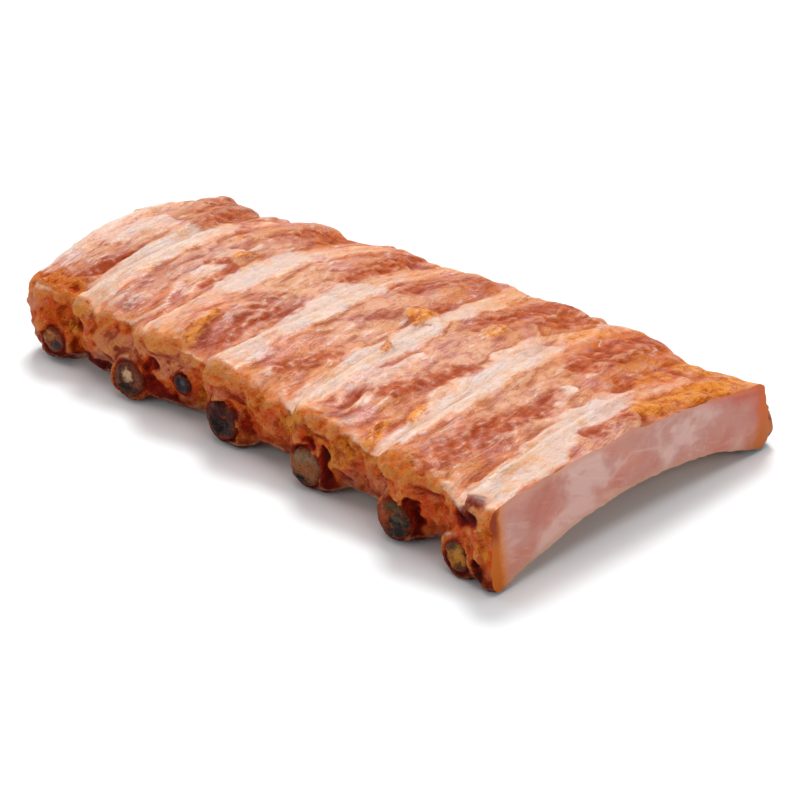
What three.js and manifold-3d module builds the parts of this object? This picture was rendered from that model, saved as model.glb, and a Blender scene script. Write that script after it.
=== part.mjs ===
import * as THREE from 'three';
import { mergeVertices } from 'three/addons/utils/BufferGeometryUtils.js';
import Module from 'manifold-3d';

// A rack of smoked pork ribs: an arched slab of meat with seven rib bones running through it.
// X runs along the rack towards the cut end, -Y is the front edge, +Z is up. All sizes are in mm.

const wasm = await Module();
wasm.setup();

// Driving sizes of the slab
const halfLength = 102;      // middle of the rack to the plane of the cut face
const footHalf = 55;         // half the width across the feet at the cut end
const farNarrowing = 0.26;   // share of the width lost by the far end
const planBow = 3.5;         // how far the middle of the rack bows towards the back
const frontHeight = 24.6;    // floor to the top rim at the front
const frontOverhang = 4.8;   // the front rim leans out past the foot
const backOverhang = 1.6;    // the same at the back
const backHeight = 21.4;     // floor to the top rim at the back, at the cut end
const backHeightFar = 22.8;  // the same at the far end
const backRise = 1.9;        // how far the back rim rises above that line halfway
const crownNear = 5.7;       // rise of the top between its rims, cut end and far end
const crownFar = 9.6;
const archNear = 11.4;       // rise of the underside above the floor, cut end and far end
const archFar = 14;
const farBulge = 5.5;        // how far the rounded far end reaches past the last full section
const farRounding = 6.5;     // how much the sections shrink over that stretch
const nominalHalfThick = 12; // scale of the corner roundings through the thickness
const rimRound = 3;          // corner radius along the top rims
const footRound = 4.5;       // corner radius along the feet

// Lower edge between the rib ends, where the meat draws back and lifts off the floor
const footLift = 1.4;
const footRecess = 3;
const backFootLift = 1.6;
const backFootRecess = 1.5;
const coverNearCut = 86;     // the meat stands on the floor again over this stretch, to the cut
const coverWholeFrom = 92;
const coverMargin = 1.5;     // how far the meat reaches down on either side of a sleeve
const liftedFrom = 4;        // a rib end lifted more than this hardly holds the edge down
const liftedShare = 0.25;

// The last stretch before the cut face is wider at both feet and along the back rim
const widerFrom = 82;
const widerFrontFoot = 2.2;
const widerBackFoot = 5.6;
const widerBackRim = 2.2;
const backSwell = { from: 80, depth: 1.8, z: 12, alongZ: 6 };
const backFootExtra = 0.8;   // the back foot is a little further out than the front one

// The edges lean out: most of the way from foot to rim is made low down
const leanPower = 1.6;
const leanShare = 0.7;

// Gap between a bone and the meat round it
const boneGap = 0.35;

// The pale bands over the ribs: x at the front rim, x at the back rim, the bend between them,
// how high each one steps up at the front and how high the red meat beside it swells at the back
const bands = [
  { front: -132, back: -133, bend: 0, step: 2, swell: 3 },
  { front: -99, back: -108, bend: 7.5, step: 3, swell: 2.6 },
  { front: -80, back: -86.5, bend: 6.5, step: 3.6, swell: 4.2 },
  { front: -50, back: -53.5, bend: 8.5, step: 3.6, swell: 3 },
  { front: -18, back: -18.5, bend: 8, step: 4.6, swell: 2.8 },
  { front: 20, back: 9.5, bend: 5.5, step: 4.4, swell: 2 },
  { front: 58, back: 39.5, bend: 7, step: 6, swell: 2.5 },
  { front: 92, back: 81, bend: 2, step: 2.5, swell: 0.4 },
  { front: 124, back: 120, bend: 0, step: 0, swell: 0 },
];

// The rib bones, from the far end to the cut end. Each has its place along the front and the
// back edge, its radius at either end, the radius of the meat sleeve round its front end and
// how far that end reaches past the foot line. A lift raises the front end off the floor.
const ribs = [
  { front: -93, back: -98, bone: 4.3, backBone: 4.4, sleeve: 6.8, reach: 3.6, lift: 1.2 },
  { front: -55.6, back: -72, bone: 5.7, backBone: 4.6, sleeve: 7.6, reach: 5, lift: 0 },
  { front: -34.5, back: -46, bone: 3.4, backBone: 4.2, sleeve: 5, reach: 1.6, lift: 7.2 },
  { front: -14.6, back: -17, bone: 6.2, backBone: 4.8, sleeve: 8, reach: 3.6, lift: 0 },
  { front: 23.3, back: 17, bone: 6, backBone: 4.8, sleeve: 7.5, reach: 4, lift: 0 },
  { front: 62.6, back: 53, bone: 5.9, backBone: 4.8, sleeve: 7.4, reach: 5.6, lift: 0 },
  { front: 88, back: 96.3, bone: 4.5, backBone: 4.7, sleeve: 6.9, reach: 5.2, lift: -0.2 },
];
const backSleeve = 6.3;
const backReach = 7;
const backReachNearCut = 10.5;

// The middle line of a rib: its height over the arch, and where it starts to turn down
const ribAboveArch = 8.4;
const ribTurnsDownAt = 0.9;
const ribTurnSoftness = 0.02;
const ribPathSteps = 24;
const shaftTall = 4.5;       // a rib is no taller than this between its ends, as a radius

// Lumps and dents of the top, each at its place with its half sizes and height
const lumps = [
  { x: -107, y: 38, alongX: 7, alongY: 10, height: 5 },
  { x: -105, y: 21, alongX: 7, alongY: 8, height: 2.1 },
  { x: -84, y: 41, alongX: 4, alongY: 5, height: 1.4 },
  { x: -74, y: 41, alongX: 9, alongY: 10, height: -1.6 },
  { x: -58, y: 46, alongX: 3.5, alongY: 6, height: 1.8 },
  { x: -20, y: 50, alongX: 7, alongY: 8, height: 1 },
  { x: 8, y: 52, alongX: 6, alongY: 8, height: 2.4 },
  { x: 35, y: 55, alongX: 4.5, alongY: 7, height: 2.5 },
  { x: 59, y: 54, alongX: 14, alongY: 7, height: 1.1 },
  { x: -107, y: 8, alongX: 9, alongY: 22, height: 1.8 },
  { x: -89, y: 46, alongX: 5, alongY: 12, height: -0.6 },
  { x: 84, y: 60, alongX: 18, alongY: 11, height: -2 },
  { x: 14, y: 8, alongX: 6, alongY: 4.5, height: 2.6 },
  { x: -54, y: 0, alongX: 4, alongY: 4, height: 1.6 },
  { x: 35, y: 18, alongX: 5, alongY: 3, height: 1.5 },
  { x: 20, y: -13, alongX: 4, alongY: 3.5, height: 1.4 },
  { x: -35, y: -35, alongX: 3.5, alongY: 8, height: 1.8 },
  { x: -73, y: -45, alongX: 4, alongY: 5, height: -2.2 },
  { x: -80, y: -25, alongX: 4, alongY: 13, height: 1.6 },
  { x: 29, y: -41, alongX: 5, alongY: 6, height: -1.8 },
  { x: 97, y: -6, alongX: 3, alongY: 16, height: 1.2 },
  { x: 66, y: 40, alongX: 8, alongY: 7, height: 1.3 },
];

// Nubs and pockets of the front edge, above the rib ends
const frontLumps = [
  { x: -102, z: 6, alongX: 4, alongZ: 4, height: 2.4 },
  { x: -99, z: 12.5, alongX: 4, alongZ: 4, height: 1.8 },
  { x: -88, z: 17, alongX: 4, alongZ: 5, height: -2 },
  { x: -66, z: 15, alongX: 4.5, alongZ: 6, height: 1.6 },
  { x: -44, z: 17, alongX: 5, alongZ: 4, height: -1.6 },
  { x: -8, z: 15.5, alongX: 4.5, alongZ: 4, height: -3 },
  { x: 3, z: 14, alongX: 5, alongZ: 6, height: 1.8 },
  { x: 27, z: 17, alongX: 4, alongZ: 5, height: -2.4 },
  { x: 40, z: 13, alongX: 6, alongZ: 7, height: 1.4 },
  { x: 57, z: 16.5, alongX: 3.6, alongZ: 4.5, height: -2.8 },
  { x: 66, z: 17, alongX: 3.6, alongZ: 6, height: 1.6 },
  { x: 78, z: 15, alongX: 5, alongZ: 4.5, height: -1.6 },
  { x: 90, z: 12, alongX: 3.4, alongZ: 7, height: 1.2 },
];

// The profile of the top from one band to the next, as places on the way: where the step at the
// front falls away, where the swell at the back starts, and where it ends
const stepFallsFrom = 0.25;
const nextStepFrom = 0.93;
const swellFrom = -0.15;
const swellCrest = 0.62;
const swellEnds = 0.94;
const stepShareInside = 0.3;  // share of the step's height that is left away from the front

// The folds of the edges: one stands out over each band, a dip follows it
const foldAt = 0.14;
const foldWidth = 0.2;
const dipAt = 0.72;
const dipWidth = 0.22;
const frontFoldDepth = 2.2;
const backFoldDepth = 0.9;

// Crags: how high each kind is, and its length along the rack and across it
const strandCrags = { height: 0.55, alongX: 5.2, slant: 0.05, alongY: 19, seed: 3 };
const topCrags = [
  { height: 0.35, alongX: 3.1, alongY: 11, seed: 17 },
  { height: 0.6, alongX: 17, alongY: 21, seed: 29 },
];
const edgeCrags = [
  { height: 0.9, alongX: 6.1, alongZ: 6.4, seed: 41 },
  { height: 0.5, alongX: 3.2, alongZ: 3.6, seed: 53 },
];
const undersideCrags = { height: 0.4, alongX: 9, alongY: 12, seed: 61 };

// The underside has a low ridge under each rib, which ends a way in from the cut
const ridgeHeight = 2.2;
const ridgeHalfWidth = 7.5;
const dipBetweenRidges = 0.8;
const ridgesFadeFrom = 72;
const ridgesEnd = 94;

// Number of steps along the rack and along each stretch of a section
const stations = 62;
const farRings = 3;
const topSteps = 24;
const cornerSteps = 2;
const frontSteps = 7;
const backSteps = 4;
const undersideSteps = 11;

function mix(a, b, share) {
  return a + (b - a) * share;
}

function smooth(low, high, value) {
  const share = Math.min(1, Math.max(0, (value - low) / (high - low)));
  return share * share * (3 - 2 * share);
}

function bump(distance) {
  return Math.exp(-distance * distance);
}

// A fixed pseudo-random number from 0 to 1 for a lattice point
function lattice(i, j, seed) {
  const value = Math.sin(i * 127.1 + j * 311.7 + seed * 74.7) * 4375.85453;
  return value - Math.floor(value);
}

// Smooth noise from -1 to 1
function noise(x, y, seed) {
  const i = Math.floor(x);
  const j = Math.floor(y);
  const u = smooth(0, 1, x - i);
  const v = smooth(0, 1, y - j);
  const low = mix(lattice(i, j, seed), lattice(i + 1, j, seed), u);
  const high = mix(lattice(i, j + 1, seed), lattice(i + 1, j + 1, seed), u);
  return 2 * mix(low, high, v) - 1;
}

// The base sizes of the section at x
function sectionAt(x) {
  const along = x / halfLength;
  const width = 1 - farNarrowing * (1 - along) / 2;
  const bow = planBow * (1 - along * along);
  const nearness = (1 + along) / 2;
  return {
    width,
    bow,
    backHeight: mix(backHeightFar, backHeight, nearness) + backRise * (1 - along * along),
    crown: mix(crownFar, crownNear, nearness),
    arch: mix(archFar, archNear, nearness),
  };
}

// How far the meat reaches down to the floor at x: 1 at a rib end, 0 between two
function footCover(x, side) {
  let cover = smooth(coverNearCut, coverWholeFrom, x);
  for (const rib of ribs) {
    const reach = (side === 'front' ? rib.sleeve : backSleeve) + coverMargin;
    const weight = side === 'front' && rib.lift > liftedFrom ? liftedShare : 1;
    cover = Math.max(cover, weight * bump(((x - rib[side]) / reach) ** 2));
  }
  return cover;
}

// A point of the smooth slab: across runs from -1 at the front to 1 at the back,
// through from -1 on the underside to 1 on the top
function slabPoint(x, across, through) {
  const section = sectionAt(x);
  const share = (across + 1) / 2;
  const hump = 1 - across * across;
  const frontOpen = 1 - footCover(x, 'front');
  const backOpen = 1 - footCover(x, 'back');
  const frontFoot = section.bow - footHalf * section.width + footRecess * frontOpen;
  const backFootFull = section.bow + (footHalf + backFootExtra) * section.width;
  const backFoot = backFootFull - backFootRecess * backOpen;
  const wider = smooth(widerFrom, halfLength, x);
  const footY = mix(frontFoot - widerFrontFoot * wider, backFoot + widerBackFoot * wider, share);
  const footZ = mix(footLift * frontOpen, backFootLift * backOpen, share) + section.arch * hump;
  const backRim = (footHalf + backOverhang) * section.width + widerBackRim * wider;
  const rimY = section.bow + mix(-(footHalf + frontOverhang) * section.width, backRim, share);
  const rimZ = mix(frontHeight, section.backHeight, share) + section.crown * hump;
  const level = (through + 1) / 2;
  const lean = mix(level, 1 - (1 - level) ** leanPower, leanShare);
  return new THREE.Vector3(x, mix(footY, rimY, lean), mix(footZ, rimZ, level));
}

// The place of x between two bands: 0 where a band starts and 1 where the next one does
function bandPhase(x, share) {
  const starts = bands.map((band) => mix(band.front, band.back, share) + band.bend * 4 * share * (1 - share));
  let i = 0;
  while (i < starts.length - 2 && x >= starts[i + 1]) i += 1;
  return { index: i, phase: (x - starts[i]) / (starts[i + 1] - starts[i]) };
}

// Relief of the top: each band starts with a raised step at the front, and the red meat
// between the bands swells towards the back
function topRelief(x, y, across) {
  const share = (across + 1) / 2;
  const { index, phase } = bandPhase(x, share);
  const falling = 0.5 - smooth(stepFallsFrom, nextStepFrom, phase);
  const fall = phase < nextStepFrom ? falling : smooth(nextStepFrom, 1, phase) - 0.5;
  const stepHere = bands[index].step;
  const rising = smooth(swellFrom, swellCrest, phase);
  const swell = phase < swellCrest ? rising : 1 - smooth(swellCrest, swellEnds, phase);
  const towardsBack = smooth(0.25, 0.95, share);
  const towardsFront = 1 - smooth(0, 0.5, share);
  let height = stepHere * fall * mix(stepShareInside, 1, towardsFront) * (1 - towardsBack);
  height += swell * bands[index].swell * towardsBack;
  const acrossStrands = x / strandCrags.alongX + strandCrags.slant * y;
  height += strandCrags.height * noise(acrossStrands, y / strandCrags.alongY, strandCrags.seed + index);
  for (const crag of topCrags) {
    height += crag.height * noise(x / crag.alongX, y / crag.alongY, crag.seed);
  }
  for (const lump of lumps) {
    height += lump.height * bump(Math.hypot((x - lump.x) / lump.alongX, (y - lump.y) / lump.alongY));
  }
  return height;
}

// Relief of the front and back edges: folds that stand out over the bands, and crags
function edgeRelief(x, z, side) {
  const share = side === 'front' ? 0 : 1;
  const { phase } = bandPhase(x, share);
  const folds = bump((phase - foldAt) / foldWidth) + bump((phase - foldAt - 1) / foldWidth);
  const fold = folds - 0.5 * bump((phase - dipAt) / dipWidth);
  let depth = (side === 'front' ? frontFoldDepth : backFoldDepth) * fold;
  for (const crag of edgeCrags) {
    depth += crag.height * noise(x / crag.alongX, z / crag.alongZ, crag.seed);
  }
  if (side === 'back') {
    const nearCut = smooth(backSwell.from, halfLength, x);
    depth += backSwell.depth * nearCut * bump((z - backSwell.z) / backSwell.alongZ);
  } else {
    for (const lump of frontLumps) {
      depth += lump.height * bump(Math.hypot((x - lump.x) / lump.alongX, (z - lump.z) / lump.alongZ));
    }
  }
  return depth;
}

// Relief of the underside: a low ridge under each bone and shallow dips between them
function undersideRelief(x, y, across) {
  const share = (across + 1) / 2;
  let ridge = 0;
  for (const rib of ribs) {
    ridge = Math.max(ridge, bump((x - mix(rib.front, rib.back, share)) / ridgeHalfWidth));
  }
  const inFromCut = 1 - smooth(ridgesFadeFrom, ridgesEnd, x);
  const crag = noise(x / undersideCrags.alongX, y / undersideCrags.alongY, undersideCrags.seed);
  return (ridgeHeight * ridge - dipBetweenRidges) * inFromCut + undersideCrags.height * crag;
}

// The closed outline of a section, as places across and through the slab, with round corners
function sectionOutline() {
  const outline = [];
  const straight = (fromA, fromB, toA, toB, steps) => {
    for (let i = 1; i < steps; i += 1) {
      outline.push({ a: mix(fromA, toA, i / steps), b: mix(fromB, toB, i / steps) });
    }
  };
  const corner = (signA, signB, radius, clockwise) => {
    const radiusA = radius / footHalf;
    const radiusB = radius / nominalHalfThick;
    for (let i = 0; i <= cornerSteps; i += 1) {
      const turn = (clockwise ? i : cornerSteps - i) / cornerSteps * Math.PI / 2;
      const a = signA * (1 - radiusA * (1 - Math.cos(turn)));
      const b = signB * (1 - radiusB * (1 - Math.sin(turn)));
      outline.push({ a, b });
    }
  };
  const rimA = 1 - rimRound / footHalf;
  const rimB = 1 - rimRound / nominalHalfThick;
  const footA = 1 - footRound / footHalf;
  const footB = 1 - footRound / nominalHalfThick;
  corner(1, -1, footRound, false);
  straight(1, -footB, 1, rimB, backSteps);
  corner(1, 1, rimRound, true);
  straight(rimA, 1, -rimA, 1, topSteps);
  corner(-1, 1, rimRound, false);
  straight(-1, rimB, -1, -footB, frontSteps);
  corner(-1, -1, footRound, true);
  straight(-footA, -1, footA, -1, undersideSteps);
  return outline;
}

// One ring of the slab's skin: the outline on the slab at x, drawn in by the inset and
// pushed out by its relief
function slabRing(x, outline, inset) {
  const keepA = 1 - inset / footHalf;
  const keepB = 1 - inset / nominalHalfThick;
  const base = outline.map(({ a, b }) => slabPoint(x, a * keepA, b * keepB));
  return base.map((point, i) => {
    const { a, b } = outline[i];
    const before = base[(i + base.length - 1) % base.length];
    const after = base[(i + 1) % base.length];
    const outward = new THREE.Vector3(0, after.z - before.z, before.y - after.y).normalize();
    const onTop = smooth(0.55, 1, b);
    const onUnderside = smooth(0.6, 1, -b);
    const onFront = smooth(0.93, 0.995, -a) * (1 - 0.4 * onTop);
    const onBack = smooth(0.93, 0.995, a) * (1 - 0.5 * onTop);
    let push = onTop * topRelief(x, point.y, a);
    push += onUnderside * (1 - onFront) * (1 - onBack) * undersideRelief(x, point.y, a);
    push += onFront * edgeRelief(x, point.z, 'front');
    push += onBack * edgeRelief(x, point.z, 'back');
    return point.clone().addScaledVector(outward, push * keepB);
  });
}

// A closed skin over rows of points, shut at both ends by flat or fanned caps
function skin(rings, fanned) {
  const count = rings[0].length;
  const points = rings.flat();
  const index = [];
  for (let row = 0; row + 1 < rings.length; row += 1) {
    for (let i = 0; i < count; i += 1) {
      const next = (i + 1) % count;
      const a = row * count + i;
      const b = row * count + next;
      const c = a + count;
      const d = b + count;
      index.push(a, b, d, a, d, c);
    }
  }
  const last = (rings.length - 1) * count;
  if (fanned) {
    for (const [start, ring, flip] of [[0, rings[0], true], [last, rings.at(-1), false]]) {
      const middle = ring.reduce((sum, point) => sum.add(point), new THREE.Vector3()).divideScalar(count);
      const hub = points.push(middle) - 1;
      for (let i = 0; i < count; i += 1) {
        const next = (i + 1) % count;
        index.push(...(flip ? [hub, start + next, start + i] : [hub, start + i, start + next]));
      }
    }
  } else {
    for (const [start, ring, flip] of [[0, rings[0], true], [last, rings.at(-1), false]]) {
      const contour = ring.map((point) => new THREE.Vector2(point.y, point.z));
      for (const [a, b, c] of THREE.ShapeUtils.triangulateShape(contour, [])) {
        index.push(...(flip ? [start + c, start + b, start + a] : [start + a, start + b, start + c]));
      }
    }
  }
  const geometry = new THREE.BufferGeometry().setFromPoints(points);
  geometry.setIndex(index);
  return geometry;
}

// The slab: full sections from the far end to the cut face, with a rounded far end
function slabGeometry() {
  const outline = sectionOutline();
  const rings = [];
  for (let i = 0; i < farRings; i += 1) {
    const turn = (1 - i / farRings) * Math.PI / 2;
    const x = -halfLength - farBulge * Math.sin(turn);
    const inset = farRounding * (1 - Math.cos(turn));
    const ring = slabRing(-halfLength, outline, inset);
    rings.push(ring.map((point) => point.setX(x)));
  }
  for (let i = 0; i <= stations; i += 1) {
    rings.push(slabRing(mix(-halfLength, halfLength, i / stations), outline, 0));
  }
  return skin(rings, false);
}

// The middle line of a rib: flat for a short way at both ends and arched with the slab between
function ribPath(rib) {
  const start = sectionAt(rib.front);
  const end = sectionAt(rib.back);
  const from = start.bow - footHalf * start.width - rib.reach;
  const lastReach = rib === ribs.at(-1) ? backReachNearCut : backReach;
  const to = end.bow + footHalf * end.width + lastReach;
  const fromZ = rib.sleeve + rib.lift;
  const points = [];
  for (let i = 0; i <= ribPathSteps; i += 1) {
    const share = i / ribPathSteps;
    const x = mix(rib.front, rib.back, share);
    const y = mix(from, to, share);
    const section = sectionAt(x);
    const across = (y - section.bow) / (footHalf * section.width);
    const rise = 1 - (across / ribTurnsDownAt) ** 2;
    const eased = (rise + Math.sqrt(rise * rise + ribTurnSoftness)) / 2;
    const crest = section.arch + ribAboveArch;
    const foot = mix(fromZ, backSleeve, smooth(0, 0.5, share));
    points.push(new THREE.Vector3(x, y, mix(foot, crest, Math.min(1, eased))));
  }
  return new THREE.CatmullRomCurve3(points);
}

// A round ring of points about a path: the sides run level, and the ring can be wider than tall
function ringAbout(path, share, shift, wide, tall, sides, seed) {
  const centre = path.getPointAt(share);
  const ahead = path.getTangentAt(share);
  const level = new THREE.Vector3(ahead.y, -ahead.x, 0).normalize();
  const upward = new THREE.Vector3().crossVectors(level, ahead).normalize();
  const ring = [];
  for (let i = 0; i < sides; i += 1) {
    const turn = i / sides * 2 * Math.PI;
    const uneven = seed ? 1 + 0.05 * noise(i * 0.9, share * 9, seed) : 1;
    ring.push(centre.clone()
      .addScaledVector(ahead, shift)
      .addScaledVector(upward, Math.cos(turn) * tall * uneven)
      .addScaledVector(level, Math.sin(turn) * wide * uneven));
  }
  return ring;
}

// The width and height of a rib bone along its path, as radii
function ribRadius(rib, share) {
  const end = mix(rib.bone, rib.backBone, smooth(0.2, 0.8, share));
  const shaft = smooth(0, 0.22, share) * (1 - smooth(0.8, 1, share));
  return { wide: mix(end, end * 0.98, shaft), tall: mix(end, Math.min(end, shaftTall), shaft) };
}

const ribSides = 10;
const sleeveSides = 12;
const ribSteps = 8;
const endRound = 0.6;   // depth of the rounded edge at a bone's end
const tunnelRun = 2;    // how far a tunnel runs on past its bone
const sleeveLip = 0.8;  // how far a sleeve's rounded lip stays behind the end of its bone

// The dished end of a bone: rows of a scale of its radius, and a share of the rounded edge
const dishRows = [
  { scale: 0.4, back: 1.2 },
  { scale: 0.55, back: 0 },
  { scale: 0.9, back: 0 },
  { scale: 1, back: 1 },
];

// A sleeve's outline: how far each row lies behind the lip, and how much thinner it is there
const sleeveRows = [
  { behind: 0, thinner: 1.2 },
  { behind: 0.9, thinner: 0.2 },
  { behind: 6, thinner: 0 },
  { behind: 15, thinner: 0.8 },
];

// A rib bone with a dished end at the front and at the back
function ribBoneGeometry(rib, path) {
  const rings = [];
  const dish = (share, sign) => {
    const { wide, tall } = ribRadius(rib, share);
    return dishRows.map(({ scale, back }) => (
      ringAbout(path, share, sign * back * endRound, wide * scale, tall * scale, ribSides, 0)
    ));
  };
  rings.push(...dish(0, 1));
  for (let i = 1; i < ribSteps; i += 1) {
    const share = i / ribSteps;
    const { wide, tall } = ribRadius(rib, share);
    rings.push(ringAbout(path, share, 0, wide, tall, ribSides, 0));
  }
  rings.push(...dish(1, -1).reverse());
  return skin(rings, true);
}

// The tunnel of a rib, wider than the bone by the gap and longer than the meat round it
function ribTunnelGeometry(rib, path) {
  const rings = [];
  const addRing = (share, shift) => {
    const { wide, tall } = ribRadius(rib, share);
    rings.push(ringAbout(path, share, shift, wide + boneGap, tall + boneGap, ribSides, 0));
  };
  addRing(0, -tunnelRun);
  addRing(0, endRound);
  for (let i = 1; i < ribSteps; i += 1) addRing(i / ribSteps, 0);
  addRing(1, -endRound);
  addRing(1, tunnelRun);
  return skin(rings, true);
}

// The sleeve of meat round the end of a rib, from its rounded lip back into the slab
function sleeveGeometry(path, atFront, radius, seed) {
  const length = path.getLength();
  const rings = sleeveRows.map(({ behind, thinner }) => {
    const share = (sleeveLip + behind) / length;
    const size = radius - thinner;
    return ringAbout(path, atFront ? share : 1 - share, 0, size, size, sleeveSides, seed);
  });
  return skin(atFront ? rings : rings.reverse(), true);
}

function toSolid(geometry) {
  const merged = mergeVertices(geometry, 1e-5);
  const mesh = new wasm.Mesh({
    numProp: 3,
    vertProperties: new Float32Array(merged.attributes.position.array),
    triVerts: new Uint32Array(merged.index.array),
  });
  return new wasm.Manifold(mesh);
}

function toGeometry(solid) {
  const mesh = solid.getMesh();
  const geometry = new THREE.BufferGeometry();
  geometry.setAttribute('position', new THREE.BufferAttribute(new Float32Array(mesh.vertProperties), 3));
  geometry.setIndex(new THREE.BufferAttribute(new Uint32Array(mesh.triVerts), 1));
  geometry.computeVertexNormals();
  return geometry;
}

// The meat: slab and sleeves joined, with a tunnel cut for each bone
function meatGeometry(paths) {
  let solid = toSolid(slabGeometry());
  ribs.forEach((rib, i) => {
    solid = solid.add(toSolid(sleeveGeometry(paths[i], true, rib.sleeve, 5 + i)));
    solid = solid.add(toSolid(sleeveGeometry(paths[i], false, backSleeve, 25 + i)));
  });
  ribs.forEach((rib, i) => {
    solid = solid.subtract(toSolid(ribTunnelGeometry(rib, paths[i])));
  });
  return toGeometry(solid);
}

const meatMaterial = new THREE.MeshStandardMaterial({ color: '#c4704a', roughness: 0.45, metalness: 0 });
const boneMaterial = new THREE.MeshStandardMaterial({ color: '#6e5440', roughness: 0.6, metalness: 0 });

function buildRack() {
  const rack = new THREE.Group();
  const paths = ribs.map(ribPath);
  const meat = new THREE.Mesh(meatGeometry(paths), meatMaterial);
  meat.name = 'meat';
  rack.add(meat);
  ribs.forEach((rib, i) => {
    const bone = new THREE.Mesh(ribBoneGeometry(rib, paths[i]), boneMaterial);
    bone.name = `rib_bone_${i + 1}`;
    rack.add(bone);
  });
  const box = new THREE.Box3().setFromObject(rack);
  const middle = box.getCenter(new THREE.Vector3());
  rack.position.set(-middle.x, -middle.y, -box.min.z);
  return rack;
}

export default buildRack();
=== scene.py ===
import math
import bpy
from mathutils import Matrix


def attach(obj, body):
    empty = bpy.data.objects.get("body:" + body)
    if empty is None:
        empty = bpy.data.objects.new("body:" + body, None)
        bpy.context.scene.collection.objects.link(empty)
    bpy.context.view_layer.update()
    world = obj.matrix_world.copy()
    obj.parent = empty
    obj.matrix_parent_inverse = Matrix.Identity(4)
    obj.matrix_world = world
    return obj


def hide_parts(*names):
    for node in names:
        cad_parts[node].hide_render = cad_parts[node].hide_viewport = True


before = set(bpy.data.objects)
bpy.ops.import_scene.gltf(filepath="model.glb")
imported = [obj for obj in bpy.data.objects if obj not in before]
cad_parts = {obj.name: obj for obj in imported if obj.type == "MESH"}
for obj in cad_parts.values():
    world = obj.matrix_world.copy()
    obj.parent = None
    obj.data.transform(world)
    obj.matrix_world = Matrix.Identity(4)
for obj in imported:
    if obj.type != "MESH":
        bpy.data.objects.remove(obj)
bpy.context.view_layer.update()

from types import SimpleNamespace
import bmesh
import bpy
import numpy as np
from mathutils import Vector

# A rack of smoked pork ribs. The forms are worked out in mm in the rack's own axes: x along
# the rack towards the cut, y from the front edge to the back, z up. They are then moved to
# the frame, whose origin is on the floor below the middle of the rack.
mm = 0.001
rackShift = np.array([2.512, -2.284, 0.101])


def mixed(a, b, share):
    return a + (b - a) * share


def smooth(low, high, value):
    share = np.clip((value - low) / (high - low), 0, 1)
    return share * share * (3 - 2 * share)


def bump(distance):
    return np.exp(-distance * distance)


def lattice(i, j, seed):
    value = np.sin(i * 127.1 + j * 311.7 + seed * 74.7) * 4375.85453
    return value - np.floor(value)


def noise(x, y, seed):  # smooth, from -1 to 1
    x, y = np.broadcast_arrays(x, y)
    i = np.floor(x)
    j = np.floor(y)
    u = smooth(0, 1, x - i)
    v = smooth(0, 1, y - j)
    low = mixed(lattice(i, j, seed), lattice(i + 1, j, seed), u)
    high = mixed(lattice(i, j + 1, seed), lattice(i + 1, j + 1, seed), u)
    return 2 * mixed(low, high, v) - 1


def noiseInSpace(points, size, seed):  # the same for rows of points
    cell = np.floor(points / size)
    part = points / size - cell
    part = part * part * (3 - 2 * part)
    total = 0
    for corner in range(8):
        step = np.array([corner & 1, corner >> 1 & 1, corner >> 2 & 1])
        weight = np.prod(np.where(step, part, 1 - part), axis=1)
        i, j, k = (cell + step).T
        total = total + weight * lattice(i + 17.3 * k, j + 5.1 * k, seed)
    return 2 * total - 1


# The form of the slab, as in the solid, in mm
slab = {
    "halfLength": 102, "footHalf": 55, "halfThick": 12, "rimRound": 3, "footRound": 4.5,
    "farNarrowing": 0.26, "planBow": 3.5,         # narrower at the far end, bent seen from above
    "frontHeight": 24.6, "backHeight": 21.4, "backHeightFar": 22.8, "backRise": 1.9,
    "frontOverhang": 4.8, "backOverhang": 1.6,    # how far the rims stand out over the feet
    "crownNear": 5.7, "crownFar": 9.6, "archNear": 11.4, "archFar": 14,
    "leanPower": 1.6, "leanShare": 0.7,           # how the side walls curve out to the rims
    "farBulge": 5.5, "farRounding": 6.5,
    # the meat stands on the floor at the rib ends and draws back between them
    "footLift": 1.4, "footRecess": 3, "backFootLift": 1.6, "backFootRecess": 1.5, "backFootOut": 0.8,
    "coverMargin": 1.5, "raisedCover": 0.25, "coverNearCut": 86, "coverWholeFrom": 92,
    # wider and swollen towards the cut
    "widerFrom": 82, "widerFrontFoot": 2.2, "widerBackFoot": 5.6, "widerBackRim": 2.2,
    "backSwellFrom": 80, "backSwellDepth": 1.8, "backSwellZ": 12, "backSwellAlongZ": 6,
    "frontFolds": 2.2, "backFolds": 0.9,          # how deep the edges fold in between the bands
    "ridgeHalf": 7.5, "ridgeHeight": 2.2, "hollowDepth": 0.8,   # the underside over and between the ribs
    "backSleeve": 6.3, "backReach": 7, "backReachNearCut": 10.5,
    "boneRaise": 8.4,     # a rib's middle over the arch, inside the slab
    "pastCut": 4,         # the skin runs on past the cut and is trimmed there
    "stationStep": 1.2, "topSteps": 100, "cornerSteps": 5, "frontSteps": 26, "backSteps": 22,
    "undersideSteps": 70, "farRings": 6, "pathPoints": 97, "sleeveSides": 48,
    "voxel": 0.88,        # size of the remeshed skin's faces
}


def named(names, *rows):  # one dictionary for each row of values
    return [dict(zip(names.split(), row)) for row in rows]


# the pale bands over the ribs: x at the front and the back rim, the bend between, how high
# each one steps up at the front and how high the meat beside it swells at the back
bands = named(
    "front back bend step swell",
    (-132, -133, 0, 2, 3), (-99, -108, 7.5, 3, 2.6), (-80, -86.5, 6.5, 3.6, 4.2),
    (-50, -53.5, 8.5, 3.6, 3), (-18, -18.5, 8, 4.6, 2.8), (20, 9.5, 5.5, 4.4, 2),
    (58, 39.5, 7, 6, 2.5), (92, 81, 2, 2.5, 0.4), (124, 120, 0, 0, 0),
)

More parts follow.
